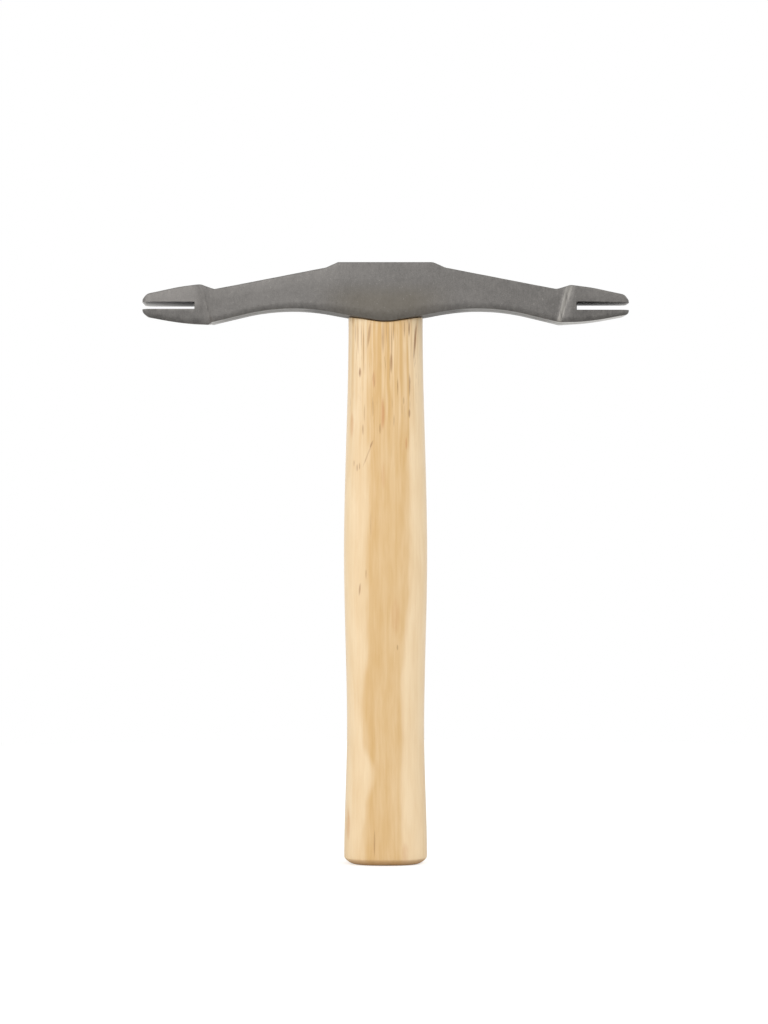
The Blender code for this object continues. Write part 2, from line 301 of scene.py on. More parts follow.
@dataclass(frozen=True)
class ForgedSteel(Finish):
    """Drop-forged steel, shot-blasted to a matt warm grey, bright on rubbed edges, with light and shade painted on.

    Painted shade darkens the milled slots, the lower jaws, the right arm and, warm, the cheeks low over the handle.
    Painted light brightens the left upper jaw, a painted highlight lies on the right half's slopes that face left,
    and a painted reflection of the pale floor lightens the undersides. Shares say how much of a mark is laid on.
    Places are in millimetres. Slopes are parts of the surface's normal, and bands and patches are levels of a noise.
    """

    dark: Tone = Tone(86, 84, 82)
    light: Tone = Tone(124, 121, 118)
    speck: Tone = Tone(150, 147, 142)
    rubbed: Tone = Tone(132, 129, 125)
    # Painted reflection of the pale floor on the undersides.
    belly: Tone = Tone(208, 205, 200)
    # Painted shade in the left slot and, darker, in the right slot.
    slot: Tone = Tone(110, 108, 105)
    slot_shade: Tone = Tone(40, 39, 38)
    # Painted warm shade low on the cheeks, just over the handle.
    cheek_warm_shade: Tone = Tone(97, 90, 77)
    grit: Grain = Grain(0.45, 0.45, 0.45, 2.0, 0.7)
    mottle: Grain = Grain(1.7, 1.7, 2.2, 3.0, 0.6)
    cloud: Grain = Grain(17.0, 17.0, 14.0)
    streak: Grain = Grain(0.8, 2.0, 9.0, 1.0)
    dent: Grain = Grain(3.4, 3.4, 3.4, 1.0)
    fleck: Grain = Grain(0.6, 0.6, 0.9, 1.0)
    base_tone: float = 0.5
    grit_share: float = 0.9
    mottle_share: float = 0.6
    cloud_share: float = 0.6
    streak_share: float = 0.2
    upper_z: Span = Span(254.2, 256.2)
    jaw_x: Span = Span(82.0, 86.0)
    lower_jaw_shade: float = 0.3
    right_arm_x: Span = Span(50.0, 75.0)
    right_arm_shade: float = 0.12
    left_jaw_x: Span = Span(82.0, 90.0)
    left_jaw_light: float = 0.3
    cheek_warm_shade_x: Span = Span(36.0, 10.0)
    cheek_warm_shade_z: Span = Span(268.0, 257.0)
    cheek_warm_shade_share: float = 0.5
    fleck_band: Span = Span(0.66, 0.74)
    fleck_patch: Span = Span(0.44, 0.62)
    fleck_share: float = 0.4
    wear_patch: Span = Span(0.3, 0.6)
    wear_share: float = 0.55
    # Painted highlight on the right half's slopes that face left, toward the key light.
    left_facing_highlight_slope: Span = Span(0.3, 0.55)
    left_facing_highlight_x: Span = Span(40.0, 74.0)
    left_facing_highlight_patch: Span = Span(0.2, 0.55)
    left_facing_highlight_share: float = 0.75
    belly_reflection_slope: Span = Span(0.75, 0.95)
    arm_reflection_x: Span = Span(30.0, 40.0)
    arm_reflection_share: float = 0.35
    jaw_reflection_x: Span = Span(70.0, 84.0)
    jaw_reflection_share: float = 0.65
    belly_reflection_share: float = 0.9
    slot_shade_turn_x: Span = Span(-40.0, 40.0)
    metallic: float = 0.85
    roughness: float = 0.52
    slot_roughness: float = 0.5
    mottle_roughness: float = 0.16
    wear_polish: float = 0.12
    belly_polish: float = 0.14
    grit_depth: float = 0.05 * MM
    dent_depth: float = 0.12 * MM

    def material(self) -> bpy.types.Material:
        """Returns the finish as a material."""
        material, bench, shader = self.start("forged_steel")
        place = bench.place()
        x, _, z = bench.axes(place)
        sideways, _, facing = bench.axes(bench.node("ShaderNodeNewGeometry", out="Normal"))
        grit, mottle = bench.grain(place, self.grit), bench.grain(place, self.mottle)
        cloud, streak = bench.grain(place, self.cloud), bench.grain(place, self.streak)
        upper = z.ease(*self.upper_z)
        lower_jaw = abs(x).ease(*self.jaw_x) * (1 - upper)
        tone = self.base_tone + grit.swing(self.grit_share) + mottle.swing(self.mottle_share)
        tone = tone + cloud.swing(self.cloud_share) + streak.swing(self.streak_share)
        tone = tone - self.lower_jaw_shade * lower_jaw
        tone = tone - self.right_arm_shade * x.ease(*self.right_arm_x) * (1 - lower_jaw)
        tone = tone + self.left_jaw_light * (-x).ease(*self.left_jaw_x) * upper
        colour = bench.mix(tone, self.dark.linear(), self.light.linear())
        # Painted warm shade low on the middle of the cheeks, just over the handle.
        cheek_warm_shade = abs(x).ease(*self.cheek_warm_shade_x) * z.ease(*self.cheek_warm_shade_z)
        colour = bench.mix(self.cheek_warm_shade_share * cheek_warm_shade, colour, self.cheek_warm_shade.linear())
        flecks = bench.grain(place, self.fleck).ease(*self.fleck_band) * mottle.ease(*self.fleck_patch)
        colour = bench.mix(self.fleck_share * flecks, colour, self.speck.linear())
        wear = bench.attribute("edge_wear") * mottle.ease(*self.wear_patch)
        colour = bench.mix(self.wear_share * wear, colour, self.rubbed.linear())
        # Painted highlight, in the speck colour, on the right half's slopes that face left, broken up by the streak
        # noise.
        left_facing_highlight = (-sideways).ease(*self.left_facing_highlight_slope) * x.ease(*self.left_facing_highlight_x) * streak.ease(*self.left_facing_highlight_patch)
        colour = bench.mix(self.left_facing_highlight_share * left_facing_highlight, colour, self.speck.linear())
        # Painted reflection of the pale floor on the downward faces of the arms and, stronger, of the jaws.
        reach = self.arm_reflection_share * abs(x).ease(*self.arm_reflection_x)
        reach = reach + self.jaw_reflection_share * abs(x).ease(*self.jaw_reflection_x)
        belly = (-facing).ease(*self.belly_reflection_slope) * reach
        colour = bench.mix(self.belly_reflection_share * belly, colour, self.belly.linear())
        # Painted shade in the slots: darkest at the closed end, and darker in the right slot than in the left.
        slot = bench.attribute("slot_wall_shade")
        slot_shade_colour = bench.mix(x.ease(*self.slot_shade_turn_x), self.slot.linear(), self.slot_shade.linear())
        roughness = self.roughness + mottle.swing(self.mottle_roughness)
        roughness = roughness - self.wear_polish * wear - self.belly_polish * belly
        dents = bench.bump(bench.grain(place, self.dent), self.dent_depth)
        feeds = {
            "Base Color": bench.mix(slot, colour, slot_shade_colour),
            "Roughness": roughness * (1 - slot) + self.slot_roughness * slot,
            "Metallic": self.metallic,
            "Normal": bench.bump(grit, self.grit_depth, dents),
        }
        bench.fill(shader, feeds)
        return material


class Streak(NamedTuple):
    """A spindle-shaped mark on the front of the handle, in millimetres: middle, half length, half width, lean."""

    x: float
    z: float
    reach: float
    width: float
    strength: float
    lean: float = 0.0

    def signal(self, bench: Bench, place: Signal) -> Signal:
        """Draws the mark.

        Args:
            bench: the bench for the nodes.
            place: the place on the handle.

        Returns:
            The mark's strength at its middle, fading to 0 at its rim.
        """
        local = bench.vector("SUBTRACT", place, (self.x, 0.0, self.z))
        across = bench.dot(local, (1 / self.width, 0.0, -self.lean / self.width))
        along = bench.dot(local, (0.0, 0.0, 1 / self.reach))
        return self.strength * (across * across + along * along).ease(1.0, 0.0)


VESSELS = (
    Streak(13.4, 239.5, 10.5, 0.7, 1.0, 0.075),
    Streak(10.7, 245.0, 4.5, 0.45, 0.9),
    Streak(8.6, 244.5, 4.5, 0.4, 0.7),
    Streak(10.9, 219.0, 6.5, 0.5, 0.8),
    Streak(10.8, 206.3, 2.6, 0.6, 0.8),
    Streak(2.7, 238.0, 12.5, 0.5, 0.55),
    Streak(2.5, 229.0, 5.5, 0.9, 0.65),
    Streak(3.6, 244.0, 6.0, 0.4, 0.6),
    Streak(-1.2, 241.0, 9.0, 0.9, 0.5),
    Streak(-7.6, 242.0, 7.0, 0.8, 0.75, 0.12),
    Streak(-10.1, 236.0, 13.0, 0.4, 0.55),
    Streak(-11.7, 225.0, 2.8, 0.65, 0.9),
    Streak(-12.6, 241.0, 8.5, 0.4, 0.55),
    Streak(-13.7, 243.0, 6.0, 0.4, 0.45),
    Streak(5.5, 218.4, 5.0, 0.4, 0.65),
    Streak(-2.5, 199.3, 3.0, 0.6, 0.6),
    Streak(-10.3, 198.8, 3.2, 0.45, 0.65),
    Streak(-5.8, 208.3, 4.5, 0.6, 0.4),
    Streak(-8.2, 187.4, 6.5, 0.5, 0.5, 0.39),
    Streak(-6.4, 192.3, 2.0, 0.6, 0.7, 0.39),
    Streak(-14.4, 183.5, 1.8, 0.4, 0.6),
    Streak(-13.0, 181.5, 2.2, 0.4, 0.6),
    Streak(-11.9, 182.2, 2.0, 0.4, 0.6),
    Streak(8.2, 212.0, 2.2, 0.45, 0.5),
    Streak(-11.8, 126.0, 3.6, 0.55, 0.85, 0.1),
    Streak(-8.9, 133.0, 2.8, 0.5, 0.4),
    Streak(5.4, 99.7, 1.6, 0.45, 0.7),
    Streak(-5.05, 10.5, 7.2, 0.5, 0.6),
    Streak(-11.1, 241.0, 8.0, 0.3, 0.5),
    Streak(-8.9, 240.0, 10.0, 0.3, 0.5),
    Streak(0.4, 243.0, 6.5, 0.3, 0.45),
    Streak(1.6, 241.0, 8.0, 0.3, 0.45),
    Streak(11.6, 236.0, 9.0, 0.35, 0.4),
    Streak(-9.7, 206.4, 5.0, 0.4, 0.4),
    Streak(3.8, 203.0, 3.5, 0.4, 0.35),
    Streak(-6.7, 155.5, 7.0, 0.4, 0.3),
)
STAINS = (
    Streak(-1.3, 206.0, 8.5, 1.2, 0.75),
    Streak(9.4, 192.5, 3.4, 0.6, 0.6),
    Streak(-1.0, 178.0, 7.0, 1.2, 0.35),
    Streak(-15.3, 201.0, 7.0, 0.9, 0.4),
    Streak(-5.3, 221.6, 5.0, 1.0, 0.45),
    Streak(4.5, 114.0, 10.0, 2.4, 0.25),
    Streak(-17.1, 18.8, 9.0, 1.2, 0.5),
    Streak(9.0, 6.0, 6.0, 2.2, 0.25),
)


class Shift(NamedTuple):
    """A sideways move of the heart's edge, which grows between two heights, in millimetres."""

    by: float
    start: float
    end: float

    def signal(self, z: Signal) -> Signal:
        """Returns the move at a height."""
        return self.by * z.ease(self.start, self.end)


@dataclass(frozen=True)
class HandleWood(Finish):
    """Pale hardwood under satin lacquer: a tan heart between cream edges, with brown vessels near the head.

    Shares say how much of a mark is laid on: whole where the fibre is faint, and broken on top of that where it is
    strong. Places are in millimetres.
    """

    cream: Tone = Tone(247, 221, 181)
    tan: Tone = Tone(219, 178, 117)
    vessel: Tone = Tone(146, 92, 46)
    stain: Tone = Tone(208, 150, 96)
    # Darker end grain, which also paints shade on the butt's rounded edge.
    end_grain_and_shade: Tone = Tone(190, 150, 104)
    wander: Grain = Grain(9.0, 9.0, 34.0)
    stripe: Grain = Grain(1.3, 1.3, 110.0, 1.5)
    blotch: Grain = Grain(4.0, 4.0, 24.0)
    fibre: Grain = Grain(0.45, 0.45, 14.0, 3.0, 0.6)
    dash: Grain = Grain(0.5, 0.5, 9.0, 1.0)
    patch: Grain = Grain(5.0, 5.0, 30.0, 1.0)
    drift: float = 2.6
    heart_sway: float = 5.0
    left_edge: float = -7.2
    left_shifts: tuple[Shift, ...] = (Shift(-2.2, 100.0, 80.0), Shift(4.2, 58.0, 42.0), Shift(-3.4, 41.0, 27.0))
    left_blend: Span = Span(-2.4, 1.4)
    right_edge: float = 11.5
    right_shift: Shift = Shift(-4.0, 125.0, 92.0)
    right_blend: Span = Span(-1.6, 2.0)
    near_head_z: Span = Span(165.0, 240.0)
    front_y: Span = Span(2.0, -2.0)
    base_tone: float = 0.1
    heart_share: float = 0.62
    blotch_share: float = 0.7
    fibre_share: float = 0.32
    left_start_x: Span = Span(0.0, -8.0)
    left_end_x: Span = Span(-18.0, -13.0)
    left_shade: float = 0.15
    stripe_share: float = 0.3
    stripe_near_head: float = 1.8
    near_head_shade: float = 0.12
    right_x: Span = Span(10.0, 15.0)
    right_light: float = 0.4
    dash_band: Span = Span(0.62, 0.73)
    dash_patch: Span = Span(0.35, 0.6)
    dash_far_share: float = 0.08
    dash_near_share: float = 0.92
    dash_front_loss: float = 0.25
    dash_share: float = 0.7
    broken_band: Span = Span(0.3, 0.62)
    stain_whole: float = 0.3
    stain_broken: float = 0.9
    vessel_share: float = 0.8
    vessel_whole: float = 0.45
    vessel_broken: float = 0.6
    vessel_relief: float = 0.25
    end_grain_and_shade_slope: Span = Span(0.2, 0.9)
    end_grain_and_shade_share: float = 0.75
    roughness: float = 0.42
    fibre_roughness: float = 0.12
    end_roughness: float = 0.2
    sheen: float = 0.35
    coat: float = 0.2
    coat_end_loss: float = 0.8
    coat_roughness: float = 0.3
    fibre_depth: float = 0.03 * MM

    def heart(self, x: Signal, z: Signal, wander: Signal) -> Signal:
        """Works out the tan heart, which leans to the left below the swell and narrows near the butt.

        Args:
            x: the place across the handle.
            z: the height.
            wander: a slow noise that moves the heart's edges.

        Returns:
            1 in the heart and 0 in the cream edges.
        """
        sway = wander.swing(self.heart_sway)
        left = sum((shift.signal(z) for shift in self.left_shifts), start=sway + self.left_edge)
        right = self.right_edge - sway + self.right_shift.signal(z)
        return (x - left).ease(*self.left_blend) * (right - x).ease(*self.right_blend)

    def material(self) -> bpy.types.Material:
        """Returns the finish as a material."""
        material, bench, shader = self.start("handle_wood")
        place = bench.place()
        x, y, z = bench.axes(place)
        near_head, front = z.ease(*self.near_head_z), y.ease(*self.front_y)
        wander = bench.grain(place, self.wander)
        along = bench.vector("MULTIPLY_ADD", wander.other("Color"), (self.drift, self.drift, 0.0), place)
        stripe, blotch = bench.grain(along, self.stripe), bench.grain(along, self.blotch)
        fibre = bench.grain(along, self.fibre)
        tone = self.base_tone + self.heart_share * self.heart(x, z, wander)
        tone = tone + blotch.swing(self.blotch_share) + fibre.swing(self.fibre_share)
        tone = tone + self.left_shade * x.ease(*self.left_start_x) * x.ease(*self.left_end_x)
        tone = tone + stripe.swing(self.stripe_share + self.stripe_near_head * near_head)
        tone = tone + near_head * (self.near_head_shade - self.right_light * x.ease(*self.right_x))
        colour = bench.mix(tone, self.cream.linear(), self.tan.linear())
        dashes = bench.grain(along, self.dash).ease(*self.dash_band)
        dashes = dashes * (self.dash_far_share + self.dash_near_share * near_head)
        dashes = dashes * bench.grain(place, self.patch).ease(*self.dash_patch) * (1 - self.dash_front_loss * front)
        marks = sum((streak.signal(bench, place) for streak in VESSELS), start=self.dash_share * dashes)
        stains = sum(streak.signal(bench, place) for streak in STAINS) * front
        broken = fibre.ease(*self.broken_band)
        stained = stains * (self.stain_whole + self.stain_broken * broken)
        colour = bench.mix(stained, colour, self.stain.linear())
        marked = self.vessel_share * marks * (self.vessel_whole + self.vessel_broken * broken)
        colour = bench.mix(marked, colour, self.vessel.linear())
        # Darker end grain on the butt and the tenon's top, and painted shade on the butt's rounded edge, which faces
        # down.
        upright = abs(bench.axes(bench.node("ShaderNodeNewGeometry", out="Normal"))[2])
        end = upright.ease(*self.end_grain_and_shade_slope)
        feeds = {
            "Base Color": bench.mix(self.end_grain_and_shade_share * end, colour, self.end_grain_and_shade.linear()),
            "Roughness": self.roughness + fibre.swing(self.fibre_roughness) + self.end_roughness * end,
            "Specular IOR Level": self.sheen,
            "Coat Weight": self.coat * (1 - self.coat_end_loss * end),
            "Coat Roughness": self.coat_roughness,
            "Normal": bench.bump(fibre - self.vessel_relief * marks, self.fibre_depth),
        }
        bench.fill(shader, feeds)
        return material


@dataclass(frozen=True)
class WedgeWood(Finish):
    """Bare brown hardwood, crushed a little by the hammer that drove it."""

    light: Tone = Tone(196, 150, 102)
    dark: Tone = Tone(150, 102, 62)
    pore: Grain = Grain(0.35, 0.35, 5.0, 2.0, 0.6)
    band: Grain = Grain(1.2, 6.0, 12.0)
    base_tone: float = 0.5
    pore_share: float = 1.2
    band_share: float = 0.9
    wear_light: float = 0.4
    roughness: float = 0.65
    pore_roughness: float = 0.2
    pore_depth: float = 0.06 * MM

    def material(self) -> bpy.types.Material:
        """Returns the finish as a material."""
        material, bench, shader = self.start("wedge_wood")
        place = bench.place()
        pore, band = bench.grain(place, self.pore), bench.grain(place, self.band)
        tone = self.base_tone + pore.swing(self.pore_share) + band.swing(self.band_share)
        tone = tone - self.wear_light * bench.attribute("edge_wear")
        feeds = {
            "Base Color": bench.mix(tone, self.light.linear(), self.dark.linear()),
            "Roughness": self.roughness + pore.swing(self.pore_roughness),
            "Normal": bench.bump(pore, self.pore_depth),
        }
        bench.fill(shader, feeds)
        return material


@dataclass(frozen=True)
class WedgeSteel(Finish):
    """Bare mild steel, hammered flush: dull in the hollows, bright on the struck spots and edges."""

    dull: Tone = Tone(120, 117, 112)
    bright: Tone = Tone(196, 193, 188)
    rust: Tone = Tone(132, 96, 70)
    dent: Grain = Grain(1.6, 1.6, 1.6, 1.0)
    scratch: Grain = Grain(0.12, 2.2, 2.2, 2.0, 0.6)
    stain: Grain = Grain(2.6, 2.6, 2.6, 3.0, 0.6)
    dent_band: Span = Span(0.35, 0.65)
    stain_band: Span = Span(0.56, 0.72)
    scratch_share: float = 0.5
    wear_light: float = 0.4
    rust_share: float = 0.5
    metallic: float = 0.95
    rust_metallic_loss: float = 0.45
    roughness: float = 0.42
    rust_roughness: float = 0.25
    scratch_polish: float = 0.1
    dent_depth: float = 0.15 * MM
    scratch_depth: float = 0.01875 * MM

    def material(self) -> bpy.types.Material:
        """Returns the finish as a material."""
        material, bench, shader = self.start("wedge_steel")
        place = bench.place()
        dent, scratch = bench.grain(place, self.dent), bench.grain(place, self.scratch)
        stain = bench.grain(place, self.stain).ease(*self.stain_band)
        tone = dent.ease(*self.dent_band) + scratch.swing(self.scratch_share)
        tone = tone + self.wear_light * bench.attribute("edge_wear")
        colour = bench.mix(tone, self.dull.linear(), self.bright.linear())
        feeds = {
            "Base Color": bench.mix(self.rust_share * stain, colour, self.rust.linear()),
            "Roughness": self.roughness + self.rust_roughness * stain - scratch.swing(self.scratch_polish),
            "Metallic": self.metallic - self.rust_metallic_loss * stain,
            "Normal": bench.bump(dent, self.dent_depth, bench.bump(scratch, self.scratch_depth)),
        }
        bench.fill(shader, feeds)
        return material


class Corner(NamedTuple):
    """A corner of an outline: its place along the head, its drop below the head's top, and its round."""

    x: float
    drop: float
    round: float = 0.0


def smooth_step(start: float, end: float, place: float) -> float:
    """Works out an even S-curve.

    Args:
        start: where the curve leaves 0.
        end: where it reaches 1.
        place: where it is read.

    Returns:
        The curve's height, from 0 to 1.
    """
    share = min(max((place - start) / (end - start), 0.0), 1.0)
    return share * share * (3.0 - 2.0 * share)


def superellipse(angle: float, squareness: float) -> tuple[float, float]:
    """Returns the point of a unit superellipse at an angle."""
    across, along = math.cos(angle), math.sin(angle)
    return tuple(math.copysign(abs(part) ** (2 / squareness), part) for part in (across, along))


def bend(start: Sequence[float], corner: Sequence[float], end: Sequence[float], steps: int) -> Profile:
    """Rounds a corner with a smooth curve.

    Args:
        start: the point where the curve begins.
        corner: the sharp corner that it replaces.
        end: the point where the curve ends.
        steps: how many pieces it has.

    Returns:
        The curve's points, both ends included.
    """
    points = []
    for i in range(steps + 1):
        share = i / steps
        weights = ((1 - share) ** 2, 2 * share * (1 - share), share**2)
        spans = zip(start, corner, end)
        points.append(tuple(sum(w * part for w, part in zip(weights, span)) for span in spans))
    return points


def spread(start: Sequence[float], end: Sequence[float], steps: int) -> Profile:
    """Returns even points from just after start up to end."""
    shares = [i / steps for i in range(1, steps + 1)]
    return [tuple(a + (b - a) * share for a, b in zip(start, end)) for share in shares]


def unevenness(point: Vector, size: float) -> float:
    """Returns a smooth unevenness at a point, from 0 to 1, with hollows of about the given size."""
    return 0.5 + 0.5 * noise.noise(point / size)


class Outline:
    """A long edge of the head as the front shows it, made of straights and rounds."""

    CHORD_ERROR = 0.004 * MM
    CHORD_LIMIT = 0.5
    ROUND_SHARE = 0.62
    MIDDLE_SLACK = 1 * MM

    def __init__(self, corners: Sequence[Corner], start: Vector | None = None) -> None:
        """Rounds the corners.

        Args:
            corners: the outline's corners. The first and the last only give direction.
            start: a first point before the first round.
        """
        points = [] if start is None else [start]
        for before, corner, after in zip(corners, corners[1:], corners[2:]):
            points.extend(self.rounded(before, corner, after))
        points = [point for point in points if point.x > -self.MIDDLE_SLACK]
        points[0].x = 0.0
        self.x = [point.x for point in points]
        self.drop = [point.y for point in points]

    def rounded(self, before: Corner, corner: Corner, after: Corner) -> list[Vector]:
        """Rounds one corner.

        Args:
            before: the corner before it.
            corner: the corner to round.
            after: the corner after it.

        Returns:
            The points of its arc.
        """
        here = Vector(corner[:2])
        behind, ahead = Vector(before[:2]) - here, Vector(after[:2]) - here
        half = behind.angle(ahead) / 2
        radius = min(corner.round, self.ROUND_SHARE * min(behind.length, ahead.length) * math.tan(half))
        behind.normalize()
        ahead.normalize()
        centre = here + (behind + ahead).normalized() * radius / math.sin(half)
        start = (here + behind * radius / math.tan(half) - centre).normalized()
        end = (here + ahead * radius / math.tan(half) - centre).normalized()
        step = 2 * math.acos(1 - min(self.CHORD_ERROR / radius, self.CHORD_LIMIT))
        steps = 2 * math.ceil((math.pi - 2 * half) / (2 * step))
        return [centre + start.slerp(end, i / steps) * radius for i in range(steps + 1)]

    def at(self, x: float) -> Vector:
        """Returns the outline's point at a place along the head."""
        return Vector((x, float(np.interp(x, self.x, self.drop))))


class Shop:
    """The workshop: makes meshes into pieces, cuts them and marks their edges."""

    @staticmethod
    def skin(shell: bmesh.types.BMesh, rings: Sequence[Ring], cap_start: bool, cap_end: bool) -> None:
        """Adds a skin through rings of equal length.

        Args:
            shell: the mesh that takes the skin.
            rings: the rings in order.
            cap_start: whether a face closes the first ring.
            cap_end: whether a face closes the last ring.
        """
        rows = [[shell.verts.new(point) for point in ring] for ring in rings]
        for row, following in pairwise(rows):
            for i, vert in enumerate(row):
                j = (i + 1) % len(row)
                shell.faces.new((vert, row[j], following[j], following[i]))
        if cap_start:
            shell.faces.new(rows[0])
        if cap_end:
            shell.faces.new(rows[-1])

    @staticmethod
    def weld(shell: bmesh.types.BMesh) -> None:
        """Joins points that meet and turns every face outwards."""
        bmesh.ops.remove_doubles(shell, verts=shell.verts, dist=WELD_DISTANCE)
        bmesh.ops.dissolve_degenerate(shell, edges=shell.edges, dist=WELD_DISTANCE / 2)
        bmesh.ops.recalc_face_normals(shell, faces=shell.faces)
        if shell.calc_volume(signed=True) < 0.0:
            bmesh.ops.reverse_faces(shell, faces=shell.faces)

    @staticmethod
    def piece(name: str, shell: bmesh.types.BMesh) -> bpy.types.Object:
        """Turns a finished shell into an object of the scene.

        Args:
            name: the piece's name.
            shell: its mesh, which is used up.

        Returns:
            The new object.
        """
        mesh = bpy.data.meshes.new(name)
        shell.to_mesh(mesh)
        shell.free()
        made = bpy.data.objects.new(name, mesh)
        bpy.context.scene.collection.objects.link(made)
        return made

    @classmethod
    def lofted(cls, name: str, rings: Sequence[Ring]) -> bpy.types.Object:
        """Returns a closed piece skinned through rings."""
        shell = bmesh.new()
        cls.skin(shell, rings, cap_start=True, cap_end=True)
        cls.weld(shell)
        return cls.piece(name, shell)

    @staticmethod
    def cut(piece: bpy.types.Object, cutters: Sequence[bpy.types.Object]) -> None:
        """Takes cutters away from a piece and throws the cutters out.

        Args:
            piece: the piece to change.
            cutters: the objects that cut it.
        """
        for cutter in cutters:
            step = piece.modifiers.new(cutter.name, "BOOLEAN")
            step.object = cutter
            step.operation = "DIFFERENCE"
            step.solver = "EXACT"
        depsgraph = bpy.context.evaluated_depsgraph_get()
        settled = bpy.data.meshes.new_from_object(piece.evaluated_get(depsgraph))
        piece.modifiers.clear()
        rough = piece.data
        settled.name = piece.name
        piece.data = settled
        bpy.data.meshes.remove(rough)
        for cutter in cutters:
            bpy.data.objects.remove(cutter, do_unlink=True)

    @staticmethod
    def mark(piece: bpy.types.Object, name: str, values: Sequence[float]) -> None:
        """Stores a value at each point of a piece for its finish.

        Args:
            piece: the piece.
            name: the name that the finish reads.
            values: one value for each point.
        """
        layer = piece.data.attributes.new(name, "FLOAT", "POINT")
        layer.data.foreach_set("value", values)

    @classmethod
    def complete(cls, piece: bpy.types.Object, finish: Finish, node: str, slot: str) -> None:
        """Shades a piece, marks its worn edges, dresses it and puts it in the frame.

        Args:
            piece: the piece.
            finish: its finish.
            node: the CAD node that it stands for.
            slot: the record's material slot, not used.
        """
        shell = bmesh.new()
        shell.from_mesh(piece.data)
        wear = [cls.turn(vert) for vert in shell.verts]
        wear = [cls.blurred(vert, wear) for vert in shell.verts]
        shell.free()
        cls.mark(piece, "edge_wear", wear)
        piece.data.materials.clear()
        piece.data.materials.append(finish.material())
        piece.data.shade_smooth()
        piece.data.set_sharp_from_angle(angle=SHARP_ANGLE)
        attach(piece, BODY)
        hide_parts(node)
        LOG.info("%s: %d faces", piece.name, len(piece.data.polygons))

    @staticmethod
    def turn(vert: bmesh.types.BMVert) -> float:
        """Returns how sharply the surface turns at a point, from 0 to 1."""
        angles = [edge.calc_face_angle(0.0) for edge in vert.link_edges]
        return min(max(angles) / WEAR_ANGLE, 1.0)

    @staticmethod
    def blurred(vert: bmesh.types.BMVert, values: Sequence[float]) -> float:
        """Returns a point's value evened out with its neighbours'."""
        near = [values[edge.other_vert(vert).index] for edge in vert.link_edges]
        return (1 - WEAR_BLUR) * values[vert.index] + WEAR_BLUR * sum(near) / len(near)


@dataclass(frozen=True)
class Crown:
    """How a cheek falls away to one of its long edges."""

    inset: float
    height: float
    edge_round: float


@dataclass(frozen=True)
class JawForm:
    """What one end of the forging has of its own.

    The twist lifts the front of the jaw. The draft lowers the front of its belly and lifts the back. The slot's
    shade fades out at a distance past the tip.
    """

    side: Side
    notch_round: float
    shoulder_round: float
    twist: float
    draft: float
    shade_reach: float


@dataclass(frozen=True)
class Cut:
    """One cut through the head: its top and bottom points as (x, drop), and what it has there."""

    form: JawForm
    high: Vector
    low: Vector
    half_depth: float
    roof: float
    floor: float
    flash: float


